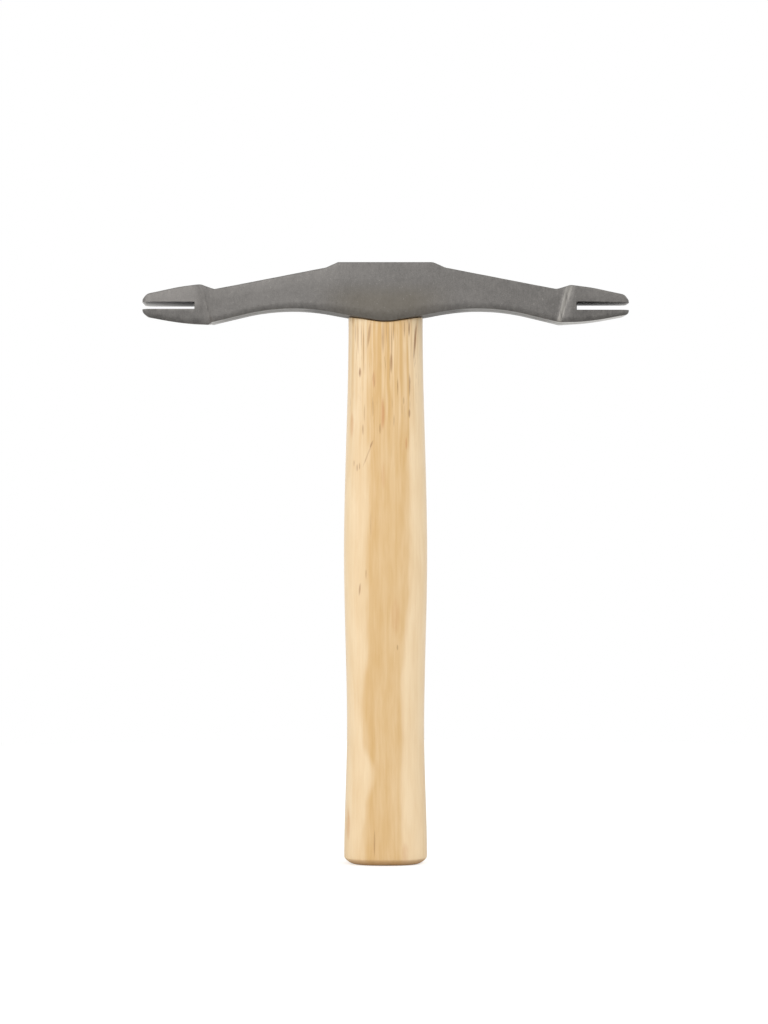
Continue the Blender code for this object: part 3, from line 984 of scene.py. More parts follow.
@dataclass
class ForgedHead:
    """The forged head: eye block, two arms and two slotted jaws.

    Places along X are from the middle of the eye, and drops are below the head's flat top.
    """

    top: float = 275 * MM
    length: float = 222 * MM
    slot_height: float = 3.2 * MM
    slot_length: float = 24 * MM
    slot_drop: float = 19.8 * MM
    slot_lip: float = 0.22 * MM
    slot_slack: float = 0.35 * MM
    lip_run: float = 0.9 * MM
    lip_steps: int = 3
    wall_steps: int = 4
    jaw_depth: float = 25.4 * MM
    upper_jaw: float = 8.25 * MM
    upper_middle: float = 6.95 * MM
    upper_nose: float = 3.75 * MM
    upper_tip: float = 1.2 * MM
    lower_jaw: float = 5.9 * MM
    lower_tip: float = 2.05 * MM
    jaw_top_setback: float = 2.9 * MM
    jaw_top_round: float = 4 * MM
    jaw_middle_reach: float = 7 * MM
    jaw_middle_round: float = 60 * MM
    jaw_ramp: float = 6 * MM
    jaw_ramp_drop: float = 1.95 * MM
    jaw_face_setback: float = 0.7 * MM
    jaw_face_ramp: float = 5.0 * MM
    jaw_face_bend: float = 0.45
    jaw_face_steps: int = 20
    heel_setback: float = 7.2 * MM
    heel_round: float = 6 * MM
    belly_length: float = 13 * MM
    belly_rise: float = 0.45 * MM
    belly_round: float = 110 * MM
    nose_length: float = 2.2 * MM
    nose_back_round: float = 4 * MM
    nose_top_round: float = 1.3 * MM
    nose_bottom_round: float = 2.1 * MM
    nose_side_round: float = 4 * MM
    nose_side_steps: int = 16
    block_length: float = 43.6 * MM
    block_depth: float = 28 * MM
    cheek_length: float = 32 * MM
    shoulder_run: float = 5.4 * MM
    shoulder_drop: float = 2.4 * MM
    shoulder_foot_round: float = 6 * MM
    arm_depth: float = 20 * MM
    lobe_drop: float = 27.2 * MM
    lobe_round: float = 30 * MM
    arch_x: float = 45 * MM
    arch_drop: float = 18.9 * MM
    arch_round: float = 96 * MM
    upper_crown: Crown = Crown(0.5 * MM, 5.5 * MM, 0.5 * MM)
    lower_crown: Crown = Crown(0.75 * MM, 2.6 * MM, 0.4 * MM)
    edge_steps: int = 3
    edge_round_steps: int = 4
    crown_steps: int = 5
    cheek_steps: int = 5
    draft_balance: float = 0.2
    draft_lead: float = 0.8 * MM
    draft_run: float = 1.6 * MM
    crown_span: float = 5 * MM
    crown_share: float = 0.8
    station_gap: float = 0.22 * MM
    station_reach: float = 1.3 * MM
    nose_station_gap: float = 0.02 * MM
    nose_station_reach: float = 0.8 * MM
    arm_roof_share: float = 0.45
    arm_floor_share: float = 0.6
    flash_width: float = 1.1 * MM
    flash_edge: float = 0.35 * MM
    flash_height: float = 0.12 * MM
    uneven_depth: float = 0.09 * MM
    uneven_size: float = 7 * MM
    uneven_ratio: float = 3.0
    uneven_middle: float = 0.5
    uneven_broad: float = 0.36
    uneven_small: float = 0.14
    eye_length: float = 28.5 * MM
    eye_width: float = 17.5 * MM
    eye_flare: float = 2.2 * MM
    eye_squareness: float = 3.0
    eye_chamfer: float = 0.9 * MM
    eye_chamfer_rise: float = 1.6
    eye_chamfer_steps: int = 6
    eye_sides: int = 96
    eye_margin: float = 4 * MM
    eye_margin_spread: float = 0.2
    left: JawForm = JawForm(Side.LEFT, 0.7 * MM, 1.2 * MM, math.radians(0.9), draft=2.0 * MM, shade_reach=0.0)
    right: JawForm = JawForm(Side.RIGHT, 4.5 * MM, 6 * MM, math.radians(-1.0), draft=0.0, shade_reach=12 * MM)
    finish: ForgedSteel = field(default_factory=ForgedSteel)

    def __post_init__(self) -> None:
        """Works out the places that follow from the sizes."""
        self.tip_x = self.length / 2
        self.seat_x = self.tip_x - self.slot_length
        self.roof_drop = self.slot_drop - self.slot_height / 2
        self.floor_drop = self.slot_drop + self.slot_height / 2
        self.jaw_top_x = self.seat_x - self.jaw_top_setback
        self.jaw_top_drop = self.roof_drop - self.upper_jaw
        self.arm_end_x = self.jaw_top_x - self.jaw_ramp
        self.jaw_face_x = self.seat_x - self.jaw_face_setback
        self.heel_x = self.seat_x - self.heel_setback
        self.heel_drop = self.floor_drop + self.lower_jaw

    def top_edge(self, form: JawForm) -> Outline:
        """Returns the top edge of one half, from the flat over the eye to the tip."""
        shoulder_x = self.block_length / 2
        foot_x = shoulder_x + self.shoulder_run
        middle_x = self.seat_x + self.jaw_middle_reach
        corners = [
            Corner(0.0, 0.0),
            Corner(shoulder_x, 0.0, form.shoulder_round),
            Corner(foot_x, self.shoulder_drop, self.shoulder_foot_round),
            Corner(self.arm_end_x, self.jaw_top_drop + self.jaw_ramp_drop, form.notch_round),
            Corner(self.jaw_top_x, self.jaw_top_drop, self.jaw_top_round),
            Corner(middle_x, self.roof_drop - self.upper_middle, self.jaw_middle_round),
            Corner(self.tip_x - self.nose_length, self.roof_drop - self.upper_nose, self.nose_back_round),
            Corner(self.tip_x, self.roof_drop - self.upper_tip, self.nose_top_round),
            Corner(self.tip_x, self.slot_drop),
        ]
        return Outline(corners, Vector((0.0, 0.0)))

    def bottom_edge(self) -> Outline:
        """Returns the lower edge of one half, from the lobe over the handle to the tip."""
        corners = [
            Corner(-self.arch_x, self.arch_drop),
            Corner(0.0, self.lobe_drop, self.lobe_round),
            Corner(self.arch_x, self.arch_drop, self.arch_round),
            Corner(self.heel_x, self.heel_drop, self.heel_round),
            Corner(self.heel_x + self.belly_length, self.heel_drop - self.belly_rise, self.belly_round),
            Corner(self.tip_x, self.floor_drop + self.lower_tip, self.nose_bottom_round),
            Corner(self.tip_x, self.slot_drop),
        ]
        return Outline(corners)

    def half_depth(self, x: float) -> float:
        """Returns half the head's depth: full at the cheeks, slim at the arm's neck, proud at the jaw's face."""
        depth = self.block_depth
        depth += (self.arm_depth - self.block_depth) * smooth_step(self.cheek_length / 2, self.arm_end_x, x)
        share = min(max(1 - (self.jaw_face_x - x) / self.jaw_face_ramp, 0.0), 1.0)
        soft = self.jaw_face_bend
        rise = share - soft / 2
        rise += (max(soft - share, 0.0) ** 2 - max(share + soft - 1, 0.0) ** 2) / (2 * soft)
        depth += (self.jaw_depth - self.arm_depth) * rise / (1 - soft)
        round_ = self.nose_side_round
        turn = min(max(x - self.tip_x + round_, 0.0), round_)
        return depth / 2 - round_ + math.sqrt(round_**2 - turn**2)

    def flash(self, x: float) -> float:
        """Returns the height of the trimmed flash line, which the block's top and the nose do not have."""
        start = self.block_length / 2 + self.shoulder_run
        rise = smooth_step(start, start + self.jaw_ramp, x)
        return self.flash_height * rise * (1 - smooth_step(self.seat_x, self.tip_x - self.jaw_ramp, x))

    def gap(self, x: float) -> float:
        """Returns the least gap between two cuts, finer where the nose turns in."""
        return self.nose_station_gap if x > self.tip_x - self.nose_station_reach else self.station_gap

    def stations(self, marks: Iterable[float], start: float, end: float) -> list[float]:
        """Chooses the places for cuts.

        Args:
            marks: places that the outlines ask for.
            start: the first cut.
            end: the last cut.

        Returns:
            Places from start to end, neither crowded nor far apart.
        """
        chosen = [start]
        for mark in sorted(mark for mark in marks if start < mark < end):
            if mark - chosen[-1] > self.gap(mark):
                chosen.append(mark)
        if end - chosen[-1] < self.gap(end) and len(chosen) > 1:
            chosen.pop()
        chosen.append(end)
        filled = [start]
        for here, following in pairwise(chosen):
            steps = math.ceil((following - here) / self.station_reach)
            filled.extend(here + (following - here) * (i + 1) / steps for i in range(steps))
        return filled

    def body_cuts(self, form: JawForm) -> list[Cut]:
        """Returns the cuts of one half from the middle of the eye to the slot's seat."""
        top, bottom = self.top_edge(form), self.bottom_edge()
        top_keys = [0.0, self.arm_end_x, self.jaw_top_x, self.seat_x]
        bottom_keys = [0.0, self.arm_end_x - self.jaw_top_x + self.heel_x, self.heel_x, self.seat_x]
        face_step = self.jaw_face_ramp / self.jaw_face_steps
        face = [self.jaw_face_x - i * face_step for i in range(self.jaw_face_steps + 1)]
        marks = [*top.x, *np.interp(bottom.x, bottom_keys, top_keys), *face]
        seat_top, seat_low = top.at(self.seat_x).y, bottom.at(self.seat_x).y
        seat_roof = (self.roof_drop - seat_top) / (seat_low - seat_top)
        seat_floor = (self.floor_drop - seat_top) / (seat_low - seat_top)
        cuts = []
        for x in self.stations(marks, 0.0, self.seat_x):
            near = smooth_step(self.arm_end_x - self.jaw_ramp, self.seat_x, x)
            roof = self.arm_roof_share + (seat_roof - self.arm_roof_share) * near
            floor = self.arm_floor_share + (seat_floor - self.arm_floor_share) * near
            low = bottom.at(float(np.interp(x, top_keys, bottom_keys)))
            cuts.append(Cut(form, top.at(x), low, self.half_depth(x), roof, floor, self.flash(x)))
        return cuts

    def prong_cuts(self, form: JawForm) -> list[Cut]:
        """Returns the cuts of one half from the slot's seat to the tip."""
        top, bottom = self.top_edge(form), self.bottom_edge()
        turns = [i / (2 * self.nose_side_steps) * math.pi for i in range(self.nose_side_steps + 1)]
        side_round = [self.tip_x - self.nose_side_round * (1 - math.sin(turn)) for turn in turns]
        near_seat = [self.seat_x + self.lip_run * i / self.lip_steps for i in range(1, self.lip_steps + 1)]
        cuts = []
        for x in self.stations([*top.x, *bottom.x, *side_round, *near_seat], self.seat_x, self.tip_x):
            high, low = top.at(x), bottom.at(x)
            height = low.y - high.y
            roof, floor = (self.roof_drop - high.y) / height, (self.floor_drop - high.y) / height
            cuts.append(Cut(form, high, low, self.half_depth(x), roof, floor, self.flash(x)))
        return cuts

    def flank(self, span: float, crown: Crown, half_depth: float, flash: float) -> Profile:
        """Works out half of a cut's upper or lower part.

        Args:
            span: the distance from the long edge to the slot's wall.
            crown: how the cheek falls away to that edge.
            half_depth: half the head's depth there.
            flash: the height of the flash line.

        Returns:
            Points (distance from the middle plane, distance from the edge), from the middle of the
            edge's face outwards and along the cheek to the slot's wall.
        """
        growth = max(span / self.crown_span, 1.0)
        reach = min(crown.height * growth, self.crown_share * span)
        inset = crown.inset * reach / (crown.height * math.sqrt(growth))
        turn = min(crown.edge_round, reach / 2)
        edge = half_depth - inset
        ridge, foot = self.flash_width, self.flash_width + self.flash_edge
        points = [(0.0, -flash), (ridge, -flash), (foot, 0.0)]
        points += spread((foot, 0.0), (edge - turn, 0.0), self.edge_steps)
        after = half_depth - inset * (1 - turn / reach) ** 2
        points += bend((edge - turn, 0.0), (edge, 0.0), (after, turn), self.edge_round_steps)[1:]
        for share, _ in spread((turn / reach, 0.0), (1.0, 0.0), self.crown_steps):
            points.append((half_depth - inset * (1 - share) ** 2, reach * share))
        return points + spread((half_depth, reach), (half_depth, span), self.cheek_steps)

    def lip(self, cut: Cut) -> float:
        """Returns how far the slot's edge is eased at a cut, nothing at the seat."""
        return self.slot_lip * smooth_step(self.seat_x, self.seat_x + self.lip_run, cut.high.x)

    def wall(self, half_depth: float, lip: float) -> Profile:
        """Returns points along a slot's wall from its eased edge to the middle, and how deep each lies."""
        points = bend((half_depth, lip), (half_depth, 0.0), (half_depth - lip, 0.0), self.lip_steps)
        return points[1:] + spread((half_depth - lip, 0.0), (0.0, 0.0), self.wall_steps)

    def point(self, cut: Cut, y: float, down: float) -> Vector:
        """Places a point of a cut in space.

        Args:
            cut: the cut.
            y: the distance from the middle plane, negative at the front.
            down: the distance from the cut's top.

        Returns:
            The point below the head's top, with the jaw's draft and twist.
        """
        height = (cut.low - cut.high).length
        low_share = min(max((down / height - cut.floor) / (1 - cut.floor), 0.0), 1.0)
        draft = cut.form.draft
        draft *= smooth_step(self.heel_x - self.draft_lead, self.heel_x + self.draft_run, cut.low.x)
        draft *= 1 - smooth_step(self.tip_x - self.nose_side_round, self.tip_x, cut.low.x)
        down += draft * low_share * (self.draft_balance - y / (2 * cut.half_depth))
        place = cut.high.lerp(cut.low, down / height)
        twist = cut.form.twist * smooth_step(self.arm_end_x, self.seat_x, place.x)
        z = -place.y + self.slot_drop
        level = z * math.cos(twist) - y * math.sin(twist) - self.slot_drop
        return Vector((cut.form.side.value * place.x, y * math.cos(twist) + z * math.sin(twist), level))

    def closed(self, cut: Cut, half: Profile) -> Ring:
        """Returns a whole ring from the points of its front half, which start and end in the middle plane."""
        front = [self.point(cut, -y, down) for y, down in half]
        back = [self.point(cut, y, down) for y, down in reversed(half[1:-1])]
        return front + back

    def body_ring(self, cut: Cut) -> Ring:
        """Returns the ring of a cut through an arm or the eye block."""
        height = (cut.low - cut.high).length
        upper = self.flank(cut.roof * height, self.upper_crown, cut.half_depth, cut.flash)
        lower = self.flank((1 - cut.floor) * height, self.lower_crown, cut.half_depth, cut.flash)
        return self.closed(cut, upper + [(y, height - up) for y, up in reversed(lower)])

    def prong_rings(self, cut: Cut) -> tuple[Ring, Ring]:
        """Returns the rings of a cut through a jaw, above and below the slot."""
        height, lip = (cut.low - cut.high).length, self.lip(cut)
        roof, floor = cut.roof * height, cut.floor * height
        upper = self.flank(roof - lip, self.upper_crown, cut.half_depth, cut.flash)
        upper += [(y, roof - up) for y, up in self.wall(cut.half_depth, lip)]
        lower = self.flank(height - floor - lip, self.lower_crown, cut.half_depth, cut.flash)
        lower += [(y, height - floor - down) for y, down in self.wall(cut.half_depth, lip)]
        return self.closed(cut, upper), self.closed(cut, [(y, height - up) for y, up in lower])

    def seat_face(self, shell: bmesh.types.BMesh, cut: Cut) -> None:
        """Adds the closed end of a slot.

        Args:
            shell: the head's mesh.
            cut: the cut at the slot's seat.
        """
        height = (cut.low - cut.high).length
        half = [(cut.half_depth, 0.0), *self.wall(cut.half_depth, 0.0)]
        across = [-y for y, _ in half] + [y for y, _ in reversed(half[:-1])]
        rows = []
        for down in (cut.roof * height, cut.floor * height):
            rows.append([shell.verts.new(self.point(cut, y, down)) for y in across])
        for i, j in pairwise(range(len(across))):
            shell.faces.new((rows[0][i], rows[0][j], rows[1][j], rows[1][i]))

    def forge(self) -> bmesh.types.BMesh:
        """Returns the head's shell before the eye is cut, at its height."""
        shell = bmesh.new()
        left, right = self.body_cuts(self.left), self.body_cuts(self.right)
        rings = [self.body_ring(cut) for cut in reversed(left[1:])]
        rings += [self.body_ring(cut) for cut in right]
        Shop.skin(shell, rings, cap_start=False, cap_end=False)
        for form in (self.left, self.right):
            cuts = self.prong_cuts(form)
            for prong in zip(*(self.prong_rings(cut) for cut in cuts)):
                Shop.skin(shell, prong, cap_start=False, cap_end=True)
            self.seat_face(shell, cuts[0])
        Shop.weld(shell)
        shell.normal_update()
        for vert in shell.verts:
            vert.co -= vert.normal * self.dip(vert.co)
        bmesh.ops.translate(shell, vec=(0.0, 0.0, self.top), verts=shell.verts)
        return shell

    def in_slot(self, point: Vector) -> bool:
        """Tells whether a point, measured from the head's top, lies on a slot's wall."""
        slack = self.slot_height / 2 + self.slot_slack
        return abs(point.x) > self.seat_x - WELD_DISTANCE and abs(point.z + self.slot_drop) < slack

    def dip(self, point: Vector) -> float:
        """Returns how far the forging's unevenness takes a point inwards."""
        if self.in_slot(point) or (point.z > -self.station_gap and abs(point.x) < self.block_length / 2):
            return 0.0
        broad = noise.noise(point / self.uneven_size)
        small = noise.noise(point / (self.uneven_size / self.uneven_ratio))
        share = self.uneven_middle + self.uneven_broad * broad + self.uneven_small * small
        return max(self.uneven_depth * share, 0.0)

    def eye_ring(self, drop: float, grow: float) -> Ring:
        """Returns the eye's oval.

        Args:
            drop: how far below the head's top the oval lies.
            grow: how much wider it is on every side.

        Returns:
            The oval at its height.
        """
        more = self.eye_flare * (1 - drop / self.lobe_drop) + 2 * grow
        ring = []
        for i in range(self.eye_sides):
            across, along = superellipse(math.tau * i / self.eye_sides, self.eye_squareness)
            x, y = across * (self.eye_length + more) / 2, along * (self.eye_width + more) / 2
            ring.append(Vector((x, y, self.top - drop)))
        return ring

    def eye_cutter(self) -> bpy.types.Object:
        """Returns the eye as a cutter, with a rounded mouth."""
        mouth = self.eye_chamfer
        rings = [self.eye_ring(self.lobe_drop + self.eye_margin, 0.0)]
        below = (0.0, self.eye_chamfer_rise * mouth)
        for grow, drop in bend(below, (0.0, 0.0), (mouth, 0.0), self.eye_chamfer_steps)[:-1]:
            rings.append(self.eye_ring(drop, grow))
        rings.append(self.eye_ring(-self.eye_margin, mouth + self.eye_margin_spread * self.eye_margin))
        return Shop.lofted("eye_cutter", rings)

    def build(self) -> bpy.types.Object:
        """Forges the head, cuts its eye, marks the painted shade on its slots' walls and dresses it.

        Returns:
            The finished head.
        """
        head = Shop.piece("forged_head", self.forge())
        Shop.cut(head, [self.eye_cutter()])
        rise = Vector((0.0, 0.0, self.top))
        marks = []
        for vert in head.data.vertices:
            point = vert.co - rise
            form = self.left if point.x < 0.0 else self.right
            # Painted shade on the slots' walls, from nothing past the tip to full at the closed end.
            inside = smooth_step(self.tip_x + form.shade_reach, self.seat_x, abs(point.x))
            marks.append(inside if self.in_slot(point) else 0.0)
        Shop.mark(head, "slot_wall_shade", marks)
        Shop.complete(head, self.finish, "head", "forged_steel")
        return head


class Band(NamedTuple):
    """A stretch of the handle over which its girth changes."""

    start: float
    end: float
    width: float
    depth: float


@dataclass
class WoodenHandle:
    """The handle: eased butt, waist, swell, neck, shoulders that follow the head, and the tenon in the eye."""

    head: ForgedHead
    butt_width: float = 38.1 * MM
    butt_depth: float = 27.5 * MM
    waist_width: float = 35.5 * MM
    waist_depth: float = 25.5 * MM
    waist_height: float = 62 * MM
    swell_width: float = 38.3 * MM
    swell_depth: float = 27.5 * MM
    swell_height: float = 142 * MM
    neck_width: float = 34.1 * MM
    neck_depth: float = 24 * MM
    squareness: float = 2.4
    ease_height: float = 3.4 * MM
    ease_inset: float = 4.6 * MM
    ease_power: float = 1.5
    ease_steps: int = 14
    body_steps: int = 120
    sides: int = 96
    shoulder_gap: float = 0.3 * MM
    rim_round: float = 0.5 * MM
    rim_steps: int = 4
    shoulder_steps: int = 4
    tenon_sink: float = 0.4 * MM
    tenon_gap: float = 0.06 * MM
    tenon_steps: int = 6
    sanding_depth: float = 0.06 * MM
    sanding_size: float = 22 * MM
    finish: HandleWood = field(default_factory=HandleWood)

    def __post_init__(self) -> None:
        """Works out the places that follow from the sizes."""
        self.underside = self.head.bottom_edge()
        self.neck_height = self.head.top - self.head.lobe_drop
        self.tenon_top = self.head.top - self.tenon_sink
        waist = Band(self.ease_height, self.waist_height, self.butt_width, self.butt_depth)
        swell = Band(self.waist_height, self.swell_height, self.waist_width, self.waist_depth)
        neck = Band(self.swell_height, self.neck_height, self.swell_width, self.swell_depth)
        top = Band(self.neck_height, self.head.top, self.neck_width, self.neck_depth)
        self.bands = [waist, swell, neck, top]

    def girth(self, height: float) -> tuple[float, float]:
        """Returns the handle's width and depth at a height."""
        width, depth = self.butt_width, self.butt_depth
        for band, following in pairwise(self.bands):
            share = smooth_step(band.start, band.end, height)
            width += share * (following.width - band.width)
            depth += share * (following.depth - band.depth)
        return width, depth

    def ease(self, height: float) -> float:
        """Returns how far the butt's eased edge lies inside the handle's side."""
        below = 1 - min(height / self.ease_height, 1.0)
        return self.ease_inset * (1 - (1 - below**self.ease_power) ** (1 / self.ease_power))

    def seat(self, x: float) -> float:
        """Returns the height of the shoulder under the head at a place along X."""
        return self.head.top - self.underside.at(abs(x)).y - self.shoulder_gap

    def side_point(self, angle: float, height: float, inset: float) -> Vector:
        """Returns a point of the handle's side, moved inwards by an inset."""
        width, depth = self.girth(height)
        across, along = superellipse(angle, self.squareness)
        return Vector((across * (width / 2 - inset), along * (depth / 2 - inset), height))

    def column(self, index: int) -> list[Vector]:
        """Returns one line of points up the handle, from the butt over the shoulder to the tenon's top.

        Args:
            index: the column's number round the handle.

        Returns:
            The points in order.
        """
        angle = math.tau * index / self.sides
        rim = self.seat(self.side_point(angle, self.neck_height, 0.0).x) - self.rim_round
        heights = [self.ease_height * (i / self.ease_steps) ** 2 for i in range(self.ease_steps)]
        heights += [
            self.ease_height + (rim - self.ease_height) * i / self.body_steps for i in range(self.body_steps + 1)
        ]
        points = [self.side_point(angle, height, self.ease(height)) for height in heights]
        for i in range(1, self.rim_steps + 1):
            turn = math.pi / 2 * i / self.rim_steps
            edge = self.side_point(angle, rim, self.rim_round * (1 - math.cos(turn)))
            edge.z = rim + self.rim_round * math.sin(turn)
            points.append(edge)
        across, along = superellipse(angle, self.head.eye_squareness)
        root = Vector((across * self.head.eye_length / 2, along * self.head.eye_width / 2, 0.0))
        outer = points[-1].copy()
        for i in range(1, self.shoulder_steps + 1):
            shelf = outer.lerp(root, i / self.shoulder_steps)
            shelf.z = self.seat(shelf.x)
            points.append(shelf)
        foot = points[-1].z
        for i in range(1, self.tenon_steps + 1):
            height = foot + (self.tenon_top - foot) * i / self.tenon_steps
            flare = self.head.eye_flare * (1 - (self.head.top - height) / self.head.lobe_drop) - 2 * self.tenon_gap
            x = across * (self.head.eye_length + flare) / 2
            y = along * (self.head.eye_width + flare) / 2
            points.append(Vector((x, y, height)))
        return points

    def turn(self) -> bpy.types.Object:
        """Returns the handle's shape before the kerf and the pockets are cut."""
        columns = [self.column(index) for index in range(self.sides)]
        shell = bmesh.new()
        Shop.skin(shell, [list(ring) for ring in zip(*columns)], cap_start=True, cap_end=True)
        Shop.weld(shell)
        shell.normal_update()
        for vert in shell.verts:
            if self.ease_height < vert.co.z < self.neck_height - self.rim_round:
                vert.co -= vert.normal * self.sanding_depth * unevenness(vert.co, self.sanding_size)
        return Shop.piece("wooden_handle", shell)

    def build(self, cutters: Sequence[bpy.types.Object]) -> bpy.types.Object:
        """Turns the handle, cuts the room for its wedges and dresses it.

        Args:
            cutters: the kerf and the pockets.

        Returns:
            The finished handle.
        """
        handle = self.turn()
        Shop.cut(handle, cutters)
        Shop.complete(handle, self.finish, "handle", "handle_wood")
        return handle


@dataclass(frozen=True)
class Taper:
    """A wedge's sizes at its top and at its tip, and how far it is driven in."""

    length: float
    top_width: float
    tip_width: float
    top_thickness: float
    tip_thickness: float
    across: bool

    def ring(self, z: float, grow: float, sides: int, squareness: float) -> Ring:
        """Returns the wedge's outline.

        Args:
            z: the height against the wedge's top.
            grow: how much larger the outline is on every side.
            sides: how many points it has.
            squareness: how square its corners are.

        Returns:
            The outline, long along X, or along Y where the wedge lies across.
        """
        share = -z / self.length
        width = self.top_width + (self.tip_width - self.top_width) * share + 2 * grow
        thickness = self.top_thickness + (self.tip_thickness - self.top_thickness) * share + 2 * grow
        spans = (thickness, width) if self.across else (width, thickness)
        ring = []
        for i in range(sides):
            x, y = superellipse(math.tau * i / sides, squareness)
            ring.append(Vector((x * spans[0] / 2, y * spans[1] / 2, z)))
        return ring


@dataclass
class WedgeSet:
    """The wooden wedge along the tenon's kerf and the two steel wedges across it.

    The struck profile gives the top's levels as (height, growth), in struck rounds.
    """

    handle: WoodenHandle
    steel_length: float = 13 * MM
    steel_thickness: float = 2.4 * MM
    steel_tip: float = 0.7 * MM
    steel_spacing: float = 13 * MM
    steel_wall: float = 2.2 * MM
    cad_gap: float = 0.3 * MM
    wood_tail: float = 7 * MM
    wood_thickness: float = 3.6 * MM
    wood_tip: float = 0.8 * MM
    fit: float = 0.04 * MM
    clearance: float = 4 * MM
    sides: int = 64
    squareness: float = 9.0
    tip_ease: float = 0.2 * MM
    tip_inset: float = 0.1 * MM
    struck_round: float = 0.22 * MM
    struck_profile: Sequence[tuple[float, float]] = (
        (-2.0, 0.0),
        (-1.0, 0.0),
        (-0.4, -0.25),
        (0.0, -1.0),
        (0.0, -2.2),
    )
    struck_rings: int = 3
    struck_depth: float = 0.1 * MM
    struck_size: float = 1.7 * MM
    wood_finish: WedgeWood = field(default_factory=WedgeWood)
    steel_finish: WedgeSteel = field(default_factory=WedgeSteel)

    def __post_init__(self) -> None:
        """Works out the two wedges' tapers."""
        head, handle = self.handle.head, self.handle
        length = self.steel_length + self.wood_tail
        drops = (handle.tenon_sink, handle.tenon_sink + length)
        flares = [head.eye_flare * (1 - drop / head.lobe_drop) for drop in drops]
        widths = [head.eye_length + flare - 2 * self.cad_gap for flare in flares]
        self.wood = Taper(length, *widths, self.wood_thickness, self.wood_tip, across=False)
        width = head.eye_width - 2 * (self.steel_wall + self.cad_gap)
        self.steel = Taper(self.steel_length, width, width, self.steel_thickness, self.steel_tip, across=True)

    def cutter(self, name: str, taper: Taper, x: float, more: float = 0.0) -> bpy.types.Object:
        """Makes the room for a wedge.

        Args:
            name: the cutter's name.
            taper: the wedge's sizes.
            x: where the wedge stands along X.
            more: how much longer than the wedge the cut runs, out through the tenon's ends.

        Returns:
            The cutter in place.
        """
        rings = [
            taper.ring(-taper.length - self.fit, self.fit, self.sides, self.squareness),
            taper.ring(self.clearance, self.fit, self.sides, self.squareness),
        ]
        for point in (point for ring in rings for point in ring):
            point.x += x + math.copysign(more, point.x)
            point.z += self.handle.tenon_top
        return Shop.lofted(name, rings)

    def cutters(self) -> list[bpy.types.Object]:
        """Returns the kerf and the two pockets that the handle needs."""
        return [self.cutter("kerf", self.wood, 0.0, self.clearance), *self.pockets("tenon")]

    def pockets(self, owner: str) -> list[bpy.types.Object]:
        """Returns the pockets for the steel wedges."""
        return [
            self.cutter(f"{owner}_pocket_{side.name.lower()}", self.steel, side.value * self.steel_spacing / 2)
            for side in Side
        ]

    def driven(self, name: str, taper: Taper, x: float) -> bpy.types.Object:
        """Makes a wedge with a struck, uneven top.

        Args:
            name: the wedge's name.
            taper: its sizes.
            x: where it stands along X.

        Returns:
            The wedge in place.
        """
        round_ = self.struck_round
        levels = [(-taper.length, -self.tip_inset), (-taper.length + self.tip_ease, 0.0), (-taper.length / 2, 0.0)]
        levels += [(z * round_, grow * round_) for z, grow in self.struck_profile]
        rings = [taper.ring(z, grow, self.sides, self.squareness) for z, grow in levels]
        place = Vector((x, 0.0, self.handle.tenon_top))
        for ring in rings[-self.struck_rings:]:
            for point in ring:
                point.z -= self.struck_depth * unevenness(point + place, self.struck_size)
        for point in (point for ring in rings for point in ring):
            point += place
        return Shop.lofted(name, rings)

    def build(self) -> list[bpy.types.Object]:
        """Makes the three wedges and dresses them.

        Returns:
            The wooden wedge, then the steel wedges from left to right.
        """
        wood = self.driven("wedge_of_wood", self.wood, 0.0)
        Shop.cut(wood, self.pockets("wedge"))
        Shop.complete(wood, self.wood_finish, "wood_wedge", "wedge_wood")
        made = [wood]
        for side in Side:
            name = side.name.lower()
            steel = self.driven(f"wedge_of_steel_{name}", self.steel, side.value * self.steel_spacing / 2)
            Shop.complete(steel, self.steel_finish, f"steel_wedge_{name}", "wedge_steel")
            made.append(steel)
        return made


@dataclass(frozen=True)
class Softbox:
    """A square soft light that looks at a point."""

    name: str
    place: tuple[float, float, float]
    target: tuple[float, float, float]
    side: float
    power: float

    def build(self) -> bpy.types.Object:
        """Returns the light in place."""
        lamp = bpy.data.lights.new(self.name, "AREA")
        lamp.shape = "SQUARE"
        lamp.size = self.side
        lamp.energy = self.power
        light = bpy.data.objects.new(self.name, lamp)
        bpy.context.scene.collection.objects.link(light)
        aim = Vector(self.target) - Vector(self.place)
        light.matrix_world = Matrix.Translation(self.place) @ aim.to_track_quat("-Z", "Y").to_matrix().to_4x4()
        light.visible_camera = False
        return light


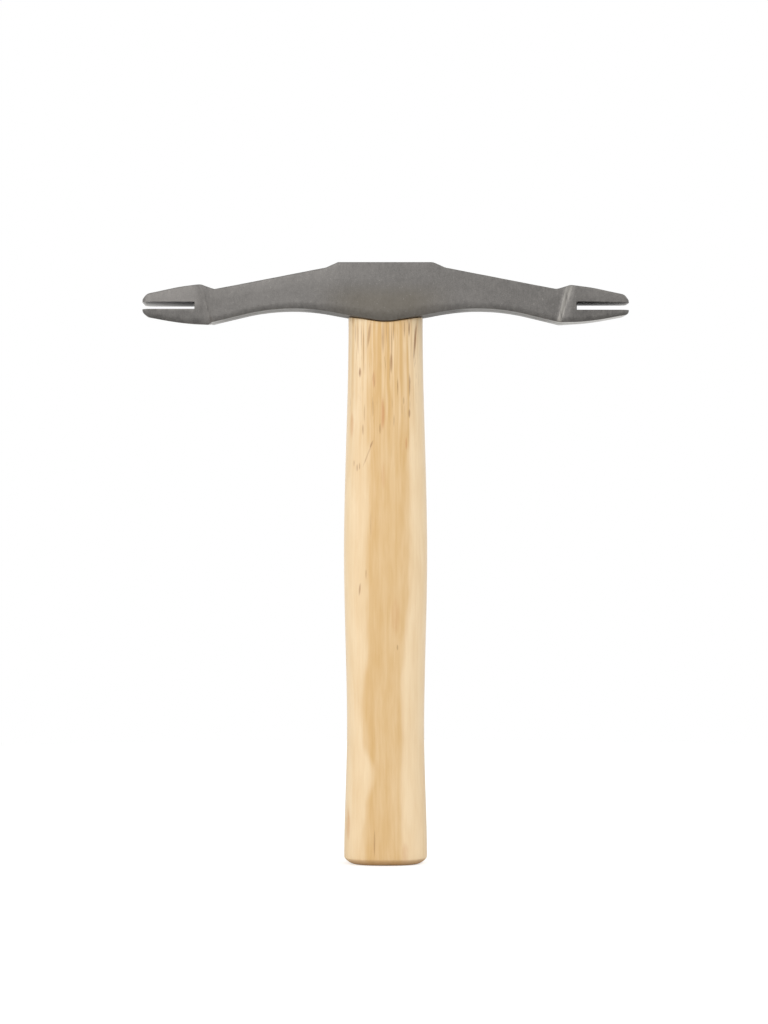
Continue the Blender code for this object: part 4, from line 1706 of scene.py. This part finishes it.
@dataclass
class Studio:
    """A pale floor, soft light and a camera level with the middle of the handle."""

    camera_x: float = -0.735 * MM
    camera_height: float = 161.34 * MM
    distance: float = 1.3
    pixel: float = 0.4594 * MM
    picture_height: int = 1024
    sensor: float = 36.0
    floor_reach: float = 0.7
    floor_sides: int = 64
    floor_tone: Tone = Tone(232, 232, 231)
    floor_glow: float = 0.55
    ambient: float = 0.5
    lights: tuple[Softbox, ...] = (
        Softbox("key", (-0.66, -1.83, 0.74), (0.0, 0.0, 0.2), 0.7, 9.8),
        Softbox("side", (-1.4, -0.75, 0.4), (0.0, 0.0, 0.2), 1.0, 6.4),
        Softbox("fill", (1.0, -1.6, 0.6), (0.0, 0.0, 0.2), 0.9, 3.8),
        Softbox("rim", (1.3, -0.3, 1.2), (0.0, 0.0, 0.15), 0.9, 6.6),
    )

    def camera(self) -> bpy.types.Object:
        """Returns the scene's camera."""
        data = bpy.data.cameras.new("camera")
        data.sensor_width = self.sensor
        data.lens = self.sensor * self.distance / (self.pixel * self.picture_height)
        camera = bpy.data.objects.new("camera", data)
        camera.location = (self.camera_x, -self.distance, self.camera_height)
        camera.rotation_euler = (math.pi / 2, 0.0, 0.0)
        bpy.context.scene.collection.objects.link(camera)
        bpy.context.scene.camera = camera
        return camera

    @staticmethod
    def seen(bench: Bench) -> Signal:
        """Returns 1 for rays that show the background, straight or in metal and glass, and 0 for the rest."""
        camera = bench.node("ShaderNodeLightPath", out="Is Camera Ray")
        return camera.most(camera.other("Is Glossy Ray")).most(camera.other("Is Transmission Ray"))

    def world(self) -> None:
        """Makes the white surround, softer as a light than as a background."""
        world = bpy.data.worlds.new("white_surround")
        world.use_nodes = True
        bench = Bench(world.node_tree)
        background = world.node_tree.nodes["Background"]
        strength = self.ambient + (1.0 - self.ambient) * self.seen(bench)
        bench.fill(background, {"Color": WHITE, "Strength": strength})
        bpy.context.scene.world = world

    def floor(self) -> bpy.types.Object:
        """Returns the pale floor, which takes the hammer's shadow."""
        shell = bmesh.new()
        bmesh.ops.create_circle(shell, cap_ends=True, radius=self.floor_reach, segments=self.floor_sides)
        floor = Shop.piece("floor", shell)
        material = bpy.data.materials.new("pale_floor")
        material.use_nodes = True
        tree = material.node_tree
        tree.nodes.remove(tree.nodes["Principled BSDF"])
        bench = Bench(tree)
        paint = bench.node("ShaderNodeBsdfDiffuse", feeds={"Color": self.floor_tone.linear()})
        glow = bench.node("ShaderNodeEmission", feeds={"Strength": self.floor_glow})
        lit = bench.node("ShaderNodeAddShader", feeds={0: paint, 1: glow})
        looked_at = bench.node("ShaderNodeLightPath", out="Is Camera Ray")
        surface = bench.node("ShaderNodeMixShader", feeds={0: looked_at, 1: paint, 2: lit})
        bench.fill(tree.nodes["Material Output"], {"Surface": surface})
        floor.data.materials.append(material)
        return floor

    def build(self) -> None:
        """Sets up the camera, the lights, the surround and the floor."""
        self.camera()
        self.world()
        self.floor()
        for light in self.lights:
            light.build()
        bpy.context.scene.view_settings.view_transform = "Standard"


def main() -> None:
    """Builds the hammer's pieces in order and the studio round them."""
    logging.basicConfig(level=logging.INFO, format="%(name)s: %(message)s")
    head = ForgedHead()
    handle = WoodenHandle(head)
    wedges = WedgeSet(handle)
    head.build()
    handle.build(wedges.cutters())
    wedges.build()
    Studio().build()


if __name__ == "__main__":
    main()
